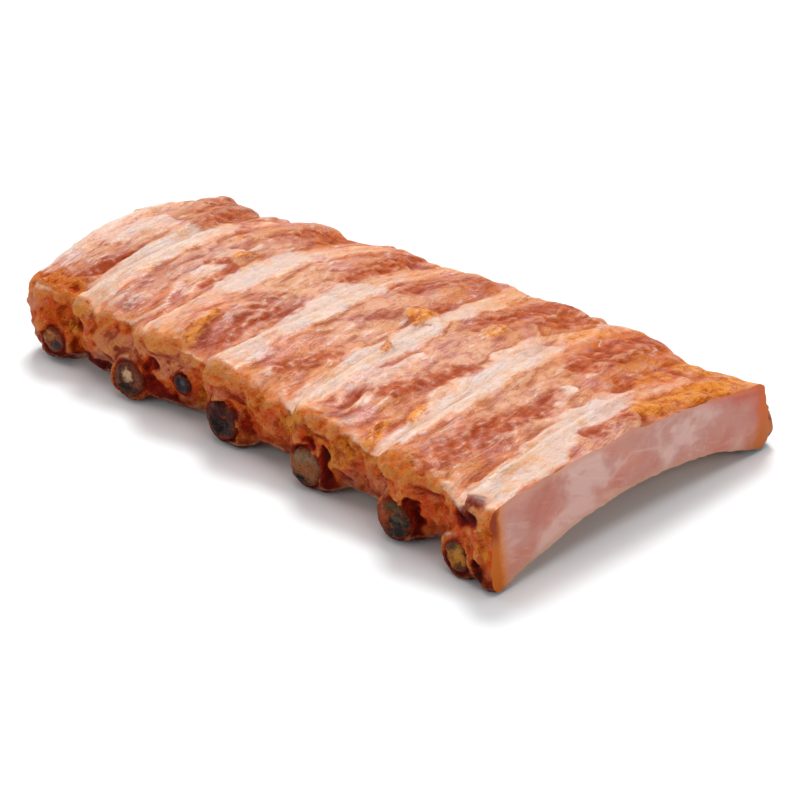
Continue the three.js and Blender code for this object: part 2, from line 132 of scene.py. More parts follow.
# the ribs: x at both edges, radius of the bone's ends, radius of the meat round the front end,
# how far the front end stands out, and how high it lies over the floor
ribs = named(
    "front back bone backBone sleeve reach lift",
    (-93, -98, 4.3, 4.4, 6.8, 3.6, 1.2),
    (-55.6, -72, 5.7, 4.6, 7.6, 5, 0),
    (-34.5, -46, 3.4, 4.2, 5, 1.6, 7.2),
    (-14.6, -17, 6.2, 4.8, 8, 3.6, 0),
    (23.3, 17, 6, 4.8, 7.5, 4, 0),
    (62.6, 53, 5.9, 4.8, 7.4, 5.6, 0),
    (88, 96.3, 4.5, 4.7, 6.9, 5.2, -0.2),
)

# lumps and dents of the top: x, y, half size along x, half size along y, height
topLumps = [
    (-107, 38, 7, 10, 5), (-105, 21, 7, 8, 2.1), (-84, 41, 4, 5, 1.4), (-74, 41, 9, 10, -1.6),
    (-58, 46, 3.5, 6, 1.8), (-20, 50, 7, 8, 1), (8, 52, 6, 8, 2.4), (35, 55, 4.5, 7, 2.5),
    (59, 54, 14, 7, 1.1), (-107, 8, 9, 22, 1.8), (-89, 46, 5, 12, -0.6), (84, 60, 18, 11, -2),
    (14, 8, 6, 4.5, 2.6), (-54, 0, 4, 4, 1.6), (35, 18, 5, 3, 1.5), (20, -13, 4, 3.5, 1.4),
    (-35, -35, 3.5, 8, 1.8), (-73, -45, 4, 5, -2.2), (-80, -25, 4, 13, 1.6), (29, -41, 5, 6, -1.8),
    (97, -6, 3, 16, 1.2), (66, 40, 8, 7, 1.3),
]

# nubs and pockets of the front edge: x, z, half size along x, half size along z, height
frontLumps = [
    (-102, 6, 4, 4, 2.4), (-99, 12.5, 4, 4, 1.8), (-88, 17, 4, 5, -2), (-66, 15, 4.5, 6, 1.6),
    (-44, 17, 5, 4, -1.6), (-8, 15.5, 4.5, 4, -3), (3, 14, 5, 6, 1.8), (27, 17, 4, 5, -2.4),
    (40, 13, 6, 7, 1.4), (57, 16.5, 3.6, 4.5, -2.8), (66, 17, 3.6, 6, 1.6), (78, 15, 5, 4.5, -1.6),
    (90, 12, 3.4, 7, 1.2),
]


def sectionAt(x):
    along = x / slab["halfLength"]
    nearness = (1 + along) / 2
    hump = 1 - along * along
    return {
        "width": 1 - slab["farNarrowing"] * (1 - along) / 2,
        "bow": slab["planBow"] * hump,
        "backHeight": mixed(slab["backHeightFar"], slab["backHeight"], nearness) + slab["backRise"] * hump,
        "crown": mixed(slab["crownFar"], slab["crownNear"], nearness),
        "arch": mixed(slab["archFar"], slab["archNear"], nearness),
    }


def footCover(x, side):  # 1 where the meat stands on the floor at a rib end
    cover = smooth(slab["coverNearCut"], slab["coverWholeFrom"], x)
    for rib in ribs:
        reach = (rib["sleeve"] if side == "front" else slab["backSleeve"]) + slab["coverMargin"]
        weight = slab["raisedCover"] if side == "front" and rib["lift"] > 4 else 1
        cover = np.maximum(cover, weight * bump(((x - rib[side]) / reach) ** 2))
    return cover


def rimLines(x):  # y of the front and the back rim
    section = sectionAt(x)
    wider = smooth(slab["widerFrom"], slab["halfLength"], x)
    front = section["bow"] - (slab["footHalf"] + slab["frontOverhang"]) * section["width"]
    back = section["bow"] + (slab["footHalf"] + slab["backOverhang"]) * section["width"]
    return front, back + slab["widerBackRim"] * wider


def slabPoint(x, across, through):  # across is -1 at the front, through is -1 at the underside
    section = sectionAt(x)
    share = (across + 1) / 2
    hump = 1 - across * across
    frontOpen = 1 - footCover(x, "front")
    backOpen = 1 - footCover(x, "back")
    wider = smooth(slab["widerFrom"], slab["halfLength"], x)
    frontFoot = section["bow"] - slab["footHalf"] * section["width"] + slab["footRecess"] * frontOpen
    backFoot = section["bow"] + (slab["footHalf"] + slab["backFootOut"]) * section["width"]
    backFoot = backFoot - slab["backFootRecess"] * backOpen
    frontFoot = frontFoot - slab["widerFrontFoot"] * wider
    footY = mixed(frontFoot, backFoot + slab["widerBackFoot"] * wider, share)
    footZ = mixed(slab["footLift"] * frontOpen, slab["backFootLift"] * backOpen, share)
    footZ = footZ + section["arch"] * hump
    frontRim, backRim = rimLines(x)
    rimY = mixed(frontRim, backRim, share)
    rimZ = mixed(slab["frontHeight"], section["backHeight"], share) + section["crown"] * hump
    level = (through + 1) / 2
    lean = mixed(level, 1 - (1 - level) ** slab["leanPower"], slab["leanShare"])
    return mixed(footY, rimY, lean), mixed(footZ, rimZ, level)


def bandPhase(x, share):  # which band a point belongs to, and its place from that band to the next
    starts = [mixed(b["front"], b["back"], share) + b["bend"] * 4 * share * (1 - share) for b in bands]
    starts = np.stack(np.broadcast_arrays(*starts, x)[:-1])
    index = (x >= starts[1:-1]).sum(axis=0)
    here = np.take_along_axis(starts, index[None], 0)[0]
    there = np.take_along_axis(starts, index[None] + 1, 0)[0]
    return index, (x - here) / (there - here)


def withLumps(height, u, v, lumps):
    for lumpU, lumpV, alongU, alongV, lift in lumps:
        height = height + lift * bump(np.hypot((u - lumpU) / alongU, (v - lumpV) / alongV))
    return height


def topRelief(x, y, across):  # steps up to the bands at the front, swells between them at the back
    share = (across + 1) / 2
    index, phase = bandPhase(x, share)
    fall = np.where(phase < 0.93, 0.5 - smooth(0.25, 0.93, phase), smooth(0.93, 1, phase) - 0.5)
    swell = np.where(phase < 0.62, smooth(-0.15, 0.62, phase), 1 - smooth(0.62, 0.94, phase))
    towardsBack = smooth(0.25, 0.95, share)
    towardsFront = 1 - smooth(0, 0.5, share)
    stepHere = np.array([b["step"] for b in bands])[index]
    swellHere = np.array([b["swell"] for b in bands])[index]
    height = stepHere * fall * mixed(0.3, 1, towardsFront) * (1 - towardsBack)
    height += swell * swellHere * towardsBack
    height += 0.55 * noise(x / 5.2 + 0.05 * y, y / 19, 3 + index)
    height += 0.35 * noise(x / 3.1, y / 11, 17)
    height += 0.6 * noise(x / 17, y / 21, 29)
    return withLumps(height, x, y, topLumps)


def edgeRelief(x, z, side):  # folds, nubs and pockets of the front or the back edge
    index, phase = bandPhase(x, 0.0 * x + (side == "back"))
    fold = bump((phase - 0.14) / 0.2) + bump((phase - 1.14) / 0.2) - 0.5 * bump((phase - 0.72) / 0.22)
    depth = slab[side + "Folds"] * fold + 0.9 * noise(x / 6.1, z / 6.4, 41)
    depth = depth + 0.5 * noise(x / 3.2, z / 3.6, 53)
    if side == "back":
        swell = smooth(slab["backSwellFrom"], slab["halfLength"], x)
        swell = swell * bump((z - slab["backSwellZ"]) / slab["backSwellAlongZ"])
        return depth + slab["backSwellDepth"] * swell
    return withLumps(depth, x, z, frontLumps)


def undersideRelief(x, y, across):  # raised a little over each rib
    share = (across + 1) / 2
    ridge = 0
    for rib in ribs:
        middle = mixed(rib["front"], rib["back"], share)
        ridge = np.maximum(ridge, bump((x - middle) / slab["ridgeHalf"]))
    inFromCut = 1 - smooth(72, 94, x)
    return (slab["ridgeHeight"] * ridge - slab["hollowDepth"]) * inFromCut + 0.4 * noise(x / 9, y / 12, 61)


def sectionOutline():  # the closed loop of a section, as places across and through the slab
    loop = []

    def straight(fromA, fromB, toA, toB, steps):
        for i in range(1, steps):
            loop.append((mixed(fromA, toA, i / steps), mixed(fromB, toB, i / steps)))

    def corner(signA, signB, radius, clockwise):
        for i in range(slab["cornerSteps"] + 1):
            turn = (i if clockwise else slab["cornerSteps"] - i) / slab["cornerSteps"] * math.pi / 2
            a = signA * (1 - radius / slab["footHalf"] * (1 - math.cos(turn)))
            b = signB * (1 - radius / slab["halfThick"] * (1 - math.sin(turn)))
            loop.append((a, b))

    rimA = 1 - slab["rimRound"] / slab["footHalf"]
    rimB = 1 - slab["rimRound"] / slab["halfThick"]
    footA = 1 - slab["footRound"] / slab["footHalf"]
    footB = 1 - slab["footRound"] / slab["halfThick"]
    corner(1, -1, slab["footRound"], False)
    straight(1, -footB, 1, rimB, slab["backSteps"])
    corner(1, 1, slab["rimRound"], True)
    straight(rimA, 1, -rimA, 1, slab["topSteps"])
    corner(-1, 1, slab["rimRound"], False)
    straight(-1, rimB, -1, -footB, slab["frontSteps"])
    corner(-1, -1, slab["footRound"], True)
    straight(-footA, -1, footA, -1, slab["undersideSteps"])
    return np.array(loop)


def slabRings(x, outline, inset):  # x is a column; gives rings of points, one for each x
    a = outline[:, 0][None]
    b = outline[:, 1][None]
    keepA = 1 - inset / slab["footHalf"]
    keepB = 1 - inset / slab["halfThick"]
    y, z = slabPoint(x, a * keepA, b * keepB)
    outY = np.roll(z, -1, 1) - np.roll(z, 1, 1)
    outZ = np.roll(y, 1, 1) - np.roll(y, -1, 1)
    size = np.hypot(outY, outZ)
    onTop = smooth(0.55, 1, b)
    onUnderside = smooth(0.6, 1, -b)
    onFront = smooth(0.93, 0.995, -a) * (1 - 0.4 * onTop)
    onBack = smooth(0.93, 0.995, a) * (1 - 0.5 * onTop)
    push = onTop * topRelief(x, y, a)
    push = push + onUnderside * (1 - onFront) * (1 - onBack) * undersideRelief(x, y, a)
    push = push + onFront * edgeRelief(x, z, "front") + onBack * edgeRelief(x, z, "back")
    push = push * keepB
    return np.stack([x + 0 * y, y + outY / size * push, z + outZ / size * push], -1)


def skinFaces(rows, count):  # a closed skin over rows of points in rings
    faces = []
    for row in range(rows - 1):
        for i in range(count):
            a = row * count + i
            b = row * count + (i + 1) % count
            faces.append((a, b, b + count, a + count))
    faces.append(tuple(reversed(range(count))))
    faces.append(tuple(range((rows - 1) * count, rows * count)))
    return faces


def slabSkin():
    outline = sectionOutline()
    half = slab["halfLength"]
    rings = []
    for i in range(slab["farRings"]):
        turn = (1 - i / slab["farRings"]) * math.pi / 2
        inset = slab["farRounding"] * (1 - math.cos(turn))
        ring = slabRings(np.array([[-half]]), outline, inset)
        ring[..., 0] = -half - slab["farBulge"] * math.sin(turn)
        rings.append(ring)
    stations = np.arange(-half, half + slab["pastCut"], slab["stationStep"])
    rings.append(slabRings(stations[:, None], outline, 0))
    points = np.concatenate(rings)
    return points.reshape(-1, 3), skinFaces(*points.shape[:2])


# The middle line of each rib, flat at both ends and arched with the slab between
def ribPath(rib):
    start = sectionAt(rib["front"])
    end = sectionAt(rib["back"])
    lastReach = slab["backReachNearCut"] if rib is ribs[-1] else slab["backReach"]
    fromY = start["bow"] - slab["footHalf"] * start["width"] - rib["reach"]
    toY = end["bow"] + slab["footHalf"] * end["width"] + lastReach
    share = np.linspace(0, 1, slab["pathPoints"])
    x = mixed(rib["front"], rib["back"], share)
    y = mixed(fromY, toY, share)
    section = sectionAt(x)
    across = (y - section["bow"]) / (slab["footHalf"] * section["width"])
    rise = 1 - (across / 0.9) ** 2
    eased = np.minimum(1, (rise + np.sqrt(rise * rise + 0.02)) / 2)
    foot = mixed(rib["sleeve"] + rib["lift"], slab["backSleeve"], smooth(0, 0.5, share))
    points = np.stack([x, y, mixed(foot, section["arch"] + slab["boneRaise"], eased)], 1)
    lengths = np.concatenate([[0], np.cumsum(np.linalg.norm(np.diff(points, axis=0), axis=1))])
    return {"points": points, "lengths": lengths, "whole": lengths[-1]}


def ringsAbout(path, along, shift, wide, tall, sides, uneven=None):
    # rings round the path at places along it in mm, each shifted on along the path's direction
    at = np.stack([np.interp(along, path["lengths"], path["points"][:, k]) for k in range(3)], 1)
    nearBy = 0.4
    ahead = np.stack([
        np.interp(along + nearBy, path["lengths"], path["points"][:, k])
        - np.interp(along - nearBy, path["lengths"], path["points"][:, k]) for k in range(3)], 1)
    ahead /= np.linalg.norm(ahead, axis=1)[:, None]
    level = np.stack([ahead[:, 1], -ahead[:, 0], 0 * ahead[:, 0]], 1)
    level /= np.linalg.norm(level, axis=1)[:, None]
    upward = np.cross(level, ahead)
    turn = np.arange(sides) / sides * 2 * math.pi
    scale = 1 if uneven is None else uneven
    up = (np.cos(turn)[None] * tall[:, None] * scale)[..., None] * upward[:, None]
    out = (np.sin(turn)[None] * wide[:, None] * scale)[..., None] * level[:, None]
    return (at + shift[:, None] * ahead)[:, None] + up + out


def sleeveSkin(rib, path, atFront, seed):  # the meat round a bone's end
    radius = rib["sleeve"] if atFront else slab["backSleeve"]
    # how far in from the bone's end, and how much wider than the sleeve
    rows = np.array([[0.8, -2.6], [0.8, -1.5], [1.0, -0.8], [1.7, -0.2], [3.5, 0], [6.8, 0],
                     [10, -0.25], [13, -0.55], [15.8, -0.8]])
    sides = slab["sleeveSides"]
    along = rows[:, 0] if atFront else path["whole"] - rows[:, 0]
    radii = radius + rows[:, 1]
    turn = np.arange(sides) / sides * 12
    uneven = 1 + 0.05 * noise(turn[None] * 0.9, along[:, None] / path["whole"] * 9, seed)
    rings = ringsAbout(path, along, 0 * along, radii, radii, sides, uneven)
    if not atFront:
        rings = rings[::-1]
    return rings.reshape(-1, 3), skinFaces(len(rings), sides)


def newPiece(name, points, faces):
    mesh = bpy.data.meshes.new(name)
    mesh.from_pydata((points * mm).tolist(), [], faces)
    mesh.update()
    piece = bpy.data.objects.new(name, mesh)
    bpy.context.collection.objects.link(piece)
    return piece


def appliedMesh(piece):  # the mesh as its modifiers leave it
    depsgraph = bpy.context.evaluated_depsgraph_get()
    mesh = bpy.data.meshes.new_from_object(piece.evaluated_get(depsgraph))
    piece.modifiers.clear()
    old = piece.data
    piece.data = mesh
    bpy.data.meshes.remove(old)
    return mesh


def readPoints(mesh, name="co"):
    values = np.empty(len(mesh.vertices) * 3)
    mesh.vertices.foreach_get(name, values)
    return values.reshape(-1, 3)


# Colours and relief of the top, as strokes: x0, y0, x1, y1, half width, strength
topStrokes = {
    "pale": [
        (-106, -34, -106, 14, 4, 0.9), (-104, -10, -98, -30, 5, 0.5), (-96, -14, -93, 2, 7, 0.55),
        (-76, -44, -77, 6, 6.5, 1), (-75, 6, -73, 30, 5, 0.5),
        (-44, -14, -42, 12, 6.5, 1), (-44, -46, -44, -14, 6.5, 0.55), (-42, 12, -38, 40, 7, 0.55),
        (-13, -48, -12, -25, 6, 0.8), (-12, -25, -12, 12, 6.5, 1), (-13, 12, -13, 50, 5.5, 0.55),
        (19, -46, 20, -20, 7, 0.85), (22, -20, 21, 0, 6, 0.9), (19, 8, 19, 34, 4.5, 1),
        (18, 34, 14, 54, 6, 0.5), (31, -12, 35, -40, 3, 0.5),
        (56, -46, 56, -10, 6, 0.9), (55, -10, 52, 20, 6, 0.85), (46, 5, 47, 30, 2.5, 0.6),
        (52, 20, 54, 50, 5, 0.45),
        (92, -58, 91, -20, 6.5, 0.95), (90, -20, 87, 10, 6, 0.9), (87, 10, 89, 35, 5, 0.5),
        (98, -30, 98, -58, 4, 0.8), (77, -5, 75, 3, 2.5, 0.7), (-64, -34, -62, -4, 3, 0.3),
        (-101, 0, -98, 22, 5, 0.35), (-79, -16, -80, 16, 5, 0.45), (-57, -22, -57, 0, 4, 0.5),
        (-101, -40, -101, -28, 4, 0.35),
        (-8, -42, -8, -26, 3, 0.45), (28, -40, 29, -26, 3, 0.5), (50, -22, 50, 0, 4, 0.45),
    ],
    "rust": [
        (-88, -37, -85, -18, 2.4, 1), (-91, 38, -84, 10, 4.5, 0.7), (-100, 30, -88, 12, 7, 0.2),
        (-80, 32, -66, 10, 2.6, 0.6), (-57, 20, -52, 45, 5, 0.7), (-54, 0, -51, 5, 3, 0.6),
        (-60, -9, -53, 0, 1.2, 0.8), (-52, -5, -52, -18, 1.7, 0.8), (-24, 46, -20, 12, 3.6, 0.9),
        (-31, 30, -25, 50, 4, 0.5), (-32, -16, -27, -8, 2.6, 0.55), (-23, -16, -24, -38, 2, 0.8),
        (-21, -18, -18, -10, 2, 0.5), (-27, -40, -27, -18, 4, 0.5), (-4, 20, 4, 45, 6, 0.6),
        (-2, 30, 2, 36, 4, 0.6), (12, 20, 15, 8, 2.8, 0.8), (2, -38, 10, -24, 3, 0.75),
        (1, -5, 12, 8, 4, 0.5), (30, 25, 33, 50, 5, 0.9), (38, 30, 42, 52, 4, 0.7),
        (27, 25, 30, 14, 3, 0.6), (42, -11, 46, -4, 3, 0.7), (30, -39, 38, -31, 3, 0.6),
        (38, -31, 43, -16, 3.6, 0.85), (43, -16, 46, -7, 3, 0.7),
        (66, 48, 68, 18, 6.5, 1), (75, -2, 76, -12, 4, 0.7), (75, -14, 73, -30, 4.5, 0.95),
        (74, -30, 72, -54, 6, 0.7), (82, 20, 84, 38, 4, 0.7), (80, 45, 88, 50, 4, 0.6),
        (95, -14, 99, 6, 2.6, 0.9), (97, 10, 100, 40, 3.5, 0.65), (50, 44, 60, 50, 4, 0.35),
    ],
    "dusky": [
        (-98, 38, -95, 18, 6, 0.4), (-66, -40, -62, 0, 6, 0.6), (-56, 8, -53, 25, 5, 0.5),
        (-27, -42, -22, -10, 5, 0.6), (-6, -38, -4, -34, 3, 0.5), (33, -47, 36, -46, 3, 1),
        (33, -32, 30, -20, 4, 0.6), (22, 22, 27, 12, 3, 0.5), (36, -5, 30, 5, 4, 0.5),
        (-2, 32, 2, 22, 4, 0.6), (-2, -10, 9, 3, 1.2, 0.9), (70, -36, 66, -50, 3, 0.5),
    ],
    "gold": [
        (-34, -29, -32, -42, 2, 1), (36, 13, 37, 17, 3, 1), (20, -12, 23, -17, 1.8, 0.9),
        (50, -31, 51, -35, 2.4, 0.9), (46, -43, 48, -49, 2.6, 0.9), (15, 6, 17, 9, 4, 1),
        (-42, -22, -42, -40, 5, 0.45), (-66, 8, -64, 12, 3, 0.6), (52, 30, 55, 44, 6, 0.55),
        (84, 24, 83, 34, 4, 0.6), (84, 48, 100, 58, 8, 0.85), (96, 10, 98, 46, 5.5, 0.8),
        (86, -14, 87, -30, 1.6, 0.5), (92, 18, 94, 46, 5, 0.45),
        (-12, -28, -8, -30, 4, 0.5), (-54, 0, -52, 4, 2.4, 0.8), (-38, 8, -34, -12, 2, 0.4),
    ],
    "crust": [
        (-105, -41, -86, -40.5, 4.5, 1), (-96, -36, -92, -38, 3, 0.6), (-107, 38, -100, 46, 5, 0.5),
    ],
    "dark": [
        (32, -47, 36, -46, 4, 0.3), (90, -59.5, 96, -58, 3, 0.75), (-33, -30, -30, -40, 1, 0.4),
    ],
}

# the same for the front edge: x0, z0, x1, z1, half width, strength
frontStrokes = {
    "pale": [
        (-70, 8, -64, 17, 5, 1), (-62, 14, -50, 20, 4, 0.9), (-42, 17, -30, 23, 5, 0.8),
        (-20, 14, -12, 18, 3, 0.5),
    ],
    "gold": [
        (-85, 15, -76, 25, 3, 0.9), (-31, 4, -25, 14, 2.2, 1), (14, 18, 22, 24, 3.5, 1),
        (26, 19, 29, 22, 3, 0.9), (34, 14, 42, 21, 4.5, 0.8), (46, 22, 56, 24, 2.6, 0.8),
        (-64, 6, -60, 13, 2.4, 0.5), (-104, 6, -98, 10, 3, 0.4), (12, 10, 16, 18, 3, 0.6),
        (97, 3, 100, 20, 2.6, 0.7), (60, 20, 66, 24, 2, 0.6), (-4, 16, 4, 22, 3, 0.5),
    ],
    # painted shade in the pockets and crevices beside the bones and along the lower edge near the floor
    "dark": [
        (-82, 17, -79, 18, 3, 0.6), (-88, 3, -70, 6, 3, 1), (-50, 1, -38, 4, 3, 0.9),
        (-48, 9, -44, 4, 4, 0.7), (-7, 11, -4, 7, 2.8, 0.5), (31, 14, 31, 4, 2.2, 0.9),
        (69, 15, 69, 4, 2, 0.9), (88, 19, 95, 22, 3, 1), (57, 17, 58, 18, 2.4, 0.9),
        (-49, 13, -46, 16, 2.6, 0.6), (95, 14, 96.5, 3, 1, 1), (24, 16, 26, 15, 1.6, 0.7),
        (5, 2, 14, 3, 3, 0.6), (36, 1, 52, 2, 3, 0.6), (-98, 2, -88, 3, 3, 0.6), (72, 1, 82, 2, 2.6, 0.6),
    ],
    "dusky": [
        (-106, 17, -98, 23, 5, 0.7), (40, 8, 54, 13, 5, 0.6), (-75, 10, -68, 14, 4, 0.4),
        (-12, 14, -18, 22, 4, 0.4), (-34, 16, -28, 22, 3, 0.4), (72, 20, 80, 22, 4, 0.5),
        (-64, 15, -52, 20, 4, 0.9), (-66, 6, -66, 14, 3, 0.8), (-44, 18, -34, 22, 4, 0.5),
    ],
}


def strokeMask(u, v, strokes, wobble):
    mask = np.zeros_like(u)
    for u0, v0, u1, v1, halfWidth, strength in strokes:
        du = u1 - u0
        dv = v1 - v0
        t = np.clip(((u - u0) * du + (v - v0) * dv) / (du * du + dv * dv + 1e-9), 0, 1)
        gap = np.hypot(u - u0 - t * du, v - v0 - t * dv)
        mask = np.maximum(mask, strength * (1 - smooth(0.45, 1.35, (gap + wobble) / halfWidth)))
    return mask


meat = {
    "flapHeight": 0.7,        # mm, strands of meat that overlap between the pale bands
    "wrinkleHeight": 0.5,     # mm, crumpled folds of the same meat
    "bandFolds": 0.12,        # mm, fine folds across the pale bands
    "bandEdge": 0.4,          # mm, how far a pale band stands up from the meat beside it
    "crustHeight": 1.0,       # mm, soft lumps of the edges
    "backHeight": 0.4,        # mm, grain of the browned meat
    "nugget": 0.9,            # mm, golden lumps of fat on the top
    "pocketDepth": 1.5,       # mm, the dark pockets of the front edge
    "underGrain": 0.35,       # mm, grain of the underside
    "boneRecess": 1.1,        # mm, from a bone's face down to the meat round it
    "smoothing": 2, "creaseRounds": 10, "sharpAngle": 55,
}


def strands(x, y, seed):  # overlapping strands along y: a slow rise and a sudden drop across x
    phase = x + 0.9 * noise(x / 2.2, y / 13, seed) + 0.35 * noise(x * 1.1, y / 5, seed + 1)
    phase = phase - np.floor(phase)
    return phase - smooth(0.78, 1, phase)


def boneEnds(paths):
    for rib, path in zip(ribs, paths):
        yield path, True, rib["bone"]
        yield path, False, rib["backBone"]


def fromBoneEnd(points, path, atFront):
    # the bone's direction inwards from that end, and how far each point lies along it and off it
    end, ahead = (0, 1) if atFront else (-1, -2)
    axis = path["points"][ahead] - path["points"][end]
    axis = axis / np.linalg.norm(axis)
    offset = points - path["points"][end]
    along = offset @ axis
    return axis, along, np.linalg.norm(offset - along[:, None] * axis, axis=1)


def sidesOf(points, normals, paths):  # how far each point belongs to the top, the front and so on
    onTop = smooth(0.25, 0.75, normals[:, 2])
    onUnder = smooth(0.3, 0.8, -normals[:, 2])
    onSide = (1 - onTop) * (1 - onUnder)
    sides = {
        "top": onTop, "under": onUnder, "front": onSide * (points[:, 1] < -20),
        "back": onSide * (points[:, 1] > 20), "bone": 0 * onTop,
        "far": smooth(0.3, 0.75, -normals[:, 0]) * (points[:, 0] < -85),
    }
    for path, atFront, radius in boneEnds(paths):
        along, across = fromBoneEnd(points, path, atFront)[1:]
        nearBone = smooth(radius + 2.2, radius + 0.5, across) * smooth(4.5, 2.5, along)
        sides["bone"] = np.maximum(sides["bone"], nearBone)
    return sides


def meatFields(points, normals, paths):
    # what each point of the skin is, from its place and the way it faces
    x, y, z = points.T
    front, back = rimLines(x)
    share = np.clip((y - front) / (back - front), 0, 1)
    index, phase = bandPhase(x, share)
    flow = np.stack([(index + phase) * 30, share * 115, share], 1)
    sides = sidesOf(points, normals, paths)
    ragged = noiseInSpace(points, 4.2, 81)
    wobble = 1.2 * noise(x / 3.3, y / 6.5, 71) + 0.7 * noise(x / 1.7, y / 3, 73)
    wobbleFront = 0.9 * noise(x / 3, z / 3, 75) + 0.5 * noise(x / 1.4, z / 1.6, 77)
    tones = {}
    for name, strokes in topStrokes.items():
        tones[name] = strokeMask(x, y, strokes, wobble) * smooth(-0.05, 0.4, normals[:, 2])
    for name, strokes in frontStrokes.items():
        tones[name] = np.maximum(tones[name], strokeMask(x, z, strokes, wobbleFront) * sides["front"])
    # the membrane of the underside ends short of the edges
    inside = smooth(3, 12, y - front + wobble) * smooth(3, 12, back - y + wobble) * smooth(-106, -98, x)
    tones["under"] = sides["under"] * inside
    outside = sides["under"] * (1 - inside)
    # crumbly crust along the front, less of it at the back and the far end
    rim = smooth(2.6, -0.6, y - front + 1.8 * ragged + 0.8 * wobble) * (z > 15)
    beyond = np.maximum(smooth(0.8, -1.2, y - front), smooth(0.8, -1.2, back - y)) * smooth(20, 16, z)
    crusts = [
        tones["crust"], sides["front"], 0.75 * rim, 0.9 * sides["back"],
        sides["far"] * (0.8 + 0.3 * ragged), 0.95 * beyond, outside,
    ]
    tones["crust"] = np.clip(np.max(crusts, axis=0), 0, 1)
    # painted shade: the dark tone also darkens the sides near the floor, the underside's edges and a ring
    # of meat round each bone end
    low = smooth(11, 1, z) * np.maximum(sides["front"], sides["back"])
    darks = [
        tones["dark"], 0.6 * low * (0.9 + 0.8 * ragged), 0.7 * outside,
        sides["bone"] * (0.6 + 0.6 * ragged),
    ]
    tones["dark"] = np.clip(np.max(darks, axis=0), 0, 1)
    return tones, flow, sides


def fineRelief(points, tones, flow, sides):  # how far the skin stands out, in mm
    along, across, share = flow.T
    x, y, z = points.T
    pale = smooth(0.15, 0.6, tones["pale"])
    bent = along + 1.5 * noise(x / 4, y / 5, 85)
    folds = noise(bent / 3, across / 9, 91) + 0.5 * noise(bent / 1.6, across / 4, 93)
    slant = x + 0.45 * y + 1.4 * noise(x / 5, y / 4, 87)
    crossing = smooth(0.1, 0.6, noise(x / 13, y / 10, 97))
    folds = folds + 0.7 * noise(slant / 2.4, (y - 0.45 * x) / 6, 96) * crossing
    folds = folds * (0.65 + 0.35 * noise(x / 11, y / 11, 98)) * (1 - 0.6 * smooth(0.45, 0.8, share))
    flaps = strands(along / 5.2, across, 99) * smooth(-0.25, 0.45, noise(x / 9, y / 14, 89))
    relief = (meat["flapHeight"] * (flaps - 0.3) + meat["wrinkleHeight"] * folds) * (1 - 0.85 * pale)
    relief += meat["bandFolds"] * noise(along / 3 + across / 9, across / 2.6, 97) * pale
    relief += meat["bandEdge"] * pale
    relief += meat["nugget"] * tones["gold"]
    relief = relief * sides["top"] * (1 - 0.5 * tones["crust"])
    coarse = noiseInSpace(points * np.array([1, 1, 0.6]), 3.6, 101)
    middle = np.abs(noiseInSpace(points * np.array([1, 1, 0.7]), 2.6, 103))
    small = noiseInSpace(points, 1.5, 105)
    slanted = np.stack([x * 0.75 + z * 0.65, y, z * 0.75 - x * 0.65], 1)
    stringy = noiseInSpace(slanted * np.array([0.28, 0.8, 1]), 1.9, 109)
    crumbs = 0.8 * coarse - 0.6 * middle + 0.45 * small + 0.5 * stringy + 0.1
    relief += meat["crustHeight"] * crumbs * tones["crust"] * (1 - sides["under"])
    relief += meat["backHeight"] * (small + 0.8 * coarse) * tones["rust"] * sides["top"]
    relief -= meat["pocketDepth"] * tones["dark"] * sides["front"] * smooth(6, 9, z) * (1 - sides["bone"])
    relief += meat["underGrain"] * (middle + 0.6 * small) * sides["under"]
    return mixed(relief, 0, sides["bone"])


# the shaders paint shade in the creases and highlights on the crests from this
def creases(mesh, points, normals):  # above 0 on crests, below 0 in creases, in mm
    ends = np.empty(len(mesh.edges) * 2, dtype=np.int32)
    mesh.edges.foreach_get("vertices", ends)
    first, second = ends.reshape(-1, 2).T
    count = len(points)
    beside = np.bincount(first, minlength=count) + np.bincount(second, minlength=count)
    soft = points.copy()
    for _ in range(meat["creaseRounds"]):
        total = [
            np.bincount(first, soft[second, k], count) + np.bincount(second, soft[first, k], count)
            for k in range(3)]
        soft = mixed(soft, np.stack(total, 1) / beside[:, None], 0.7)
    return ((points - soft) * normals).sum(axis=1)


def keepOnPoints(mesh, name, values):  # rows of three values, for the shaders to read
    layer = mesh.attributes.new(name, "FLOAT_VECTOR", "POINT")
    layer.data.foreach_set("vector", np.ascontiguousarray(values, dtype=np.float32).ravel())


def writeTones(mesh, tones, flow, crease):
    keepOnPoints(mesh, "toneA", np.stack([tones["pale"], tones["rust"], tones["dusky"]], 1))
    keepOnPoints(mesh, "toneB", np.stack([tones["gold"], tones["crust"], tones["dark"]], 1))
    keepOnPoints(mesh, "place", np.stack([flow[:, 2], tones["under"], crease], 1))
    keepOnPoints(mesh, "flow", flow)


def meatSkin(paths):  # the slab and the sleeves round the bone ends, as one list of closed skins
    points, faces = slabSkin()
    skins = [points]
    count = len(points)
    for i, (rib, path) in enumerate(zip(ribs, paths)):
        for atFront, seed in ((True, 5 + i), (False, 25 + i)):
            sleevePoints, sleeveFaces = sleeveSkin(rib, path, atFront, seed)
            skins.append(sleevePoints)
            faces += [tuple(corner + count for corner in face) for face in sleeveFaces]
            count += len(sleevePoints)
    return np.concatenate(skins), faces


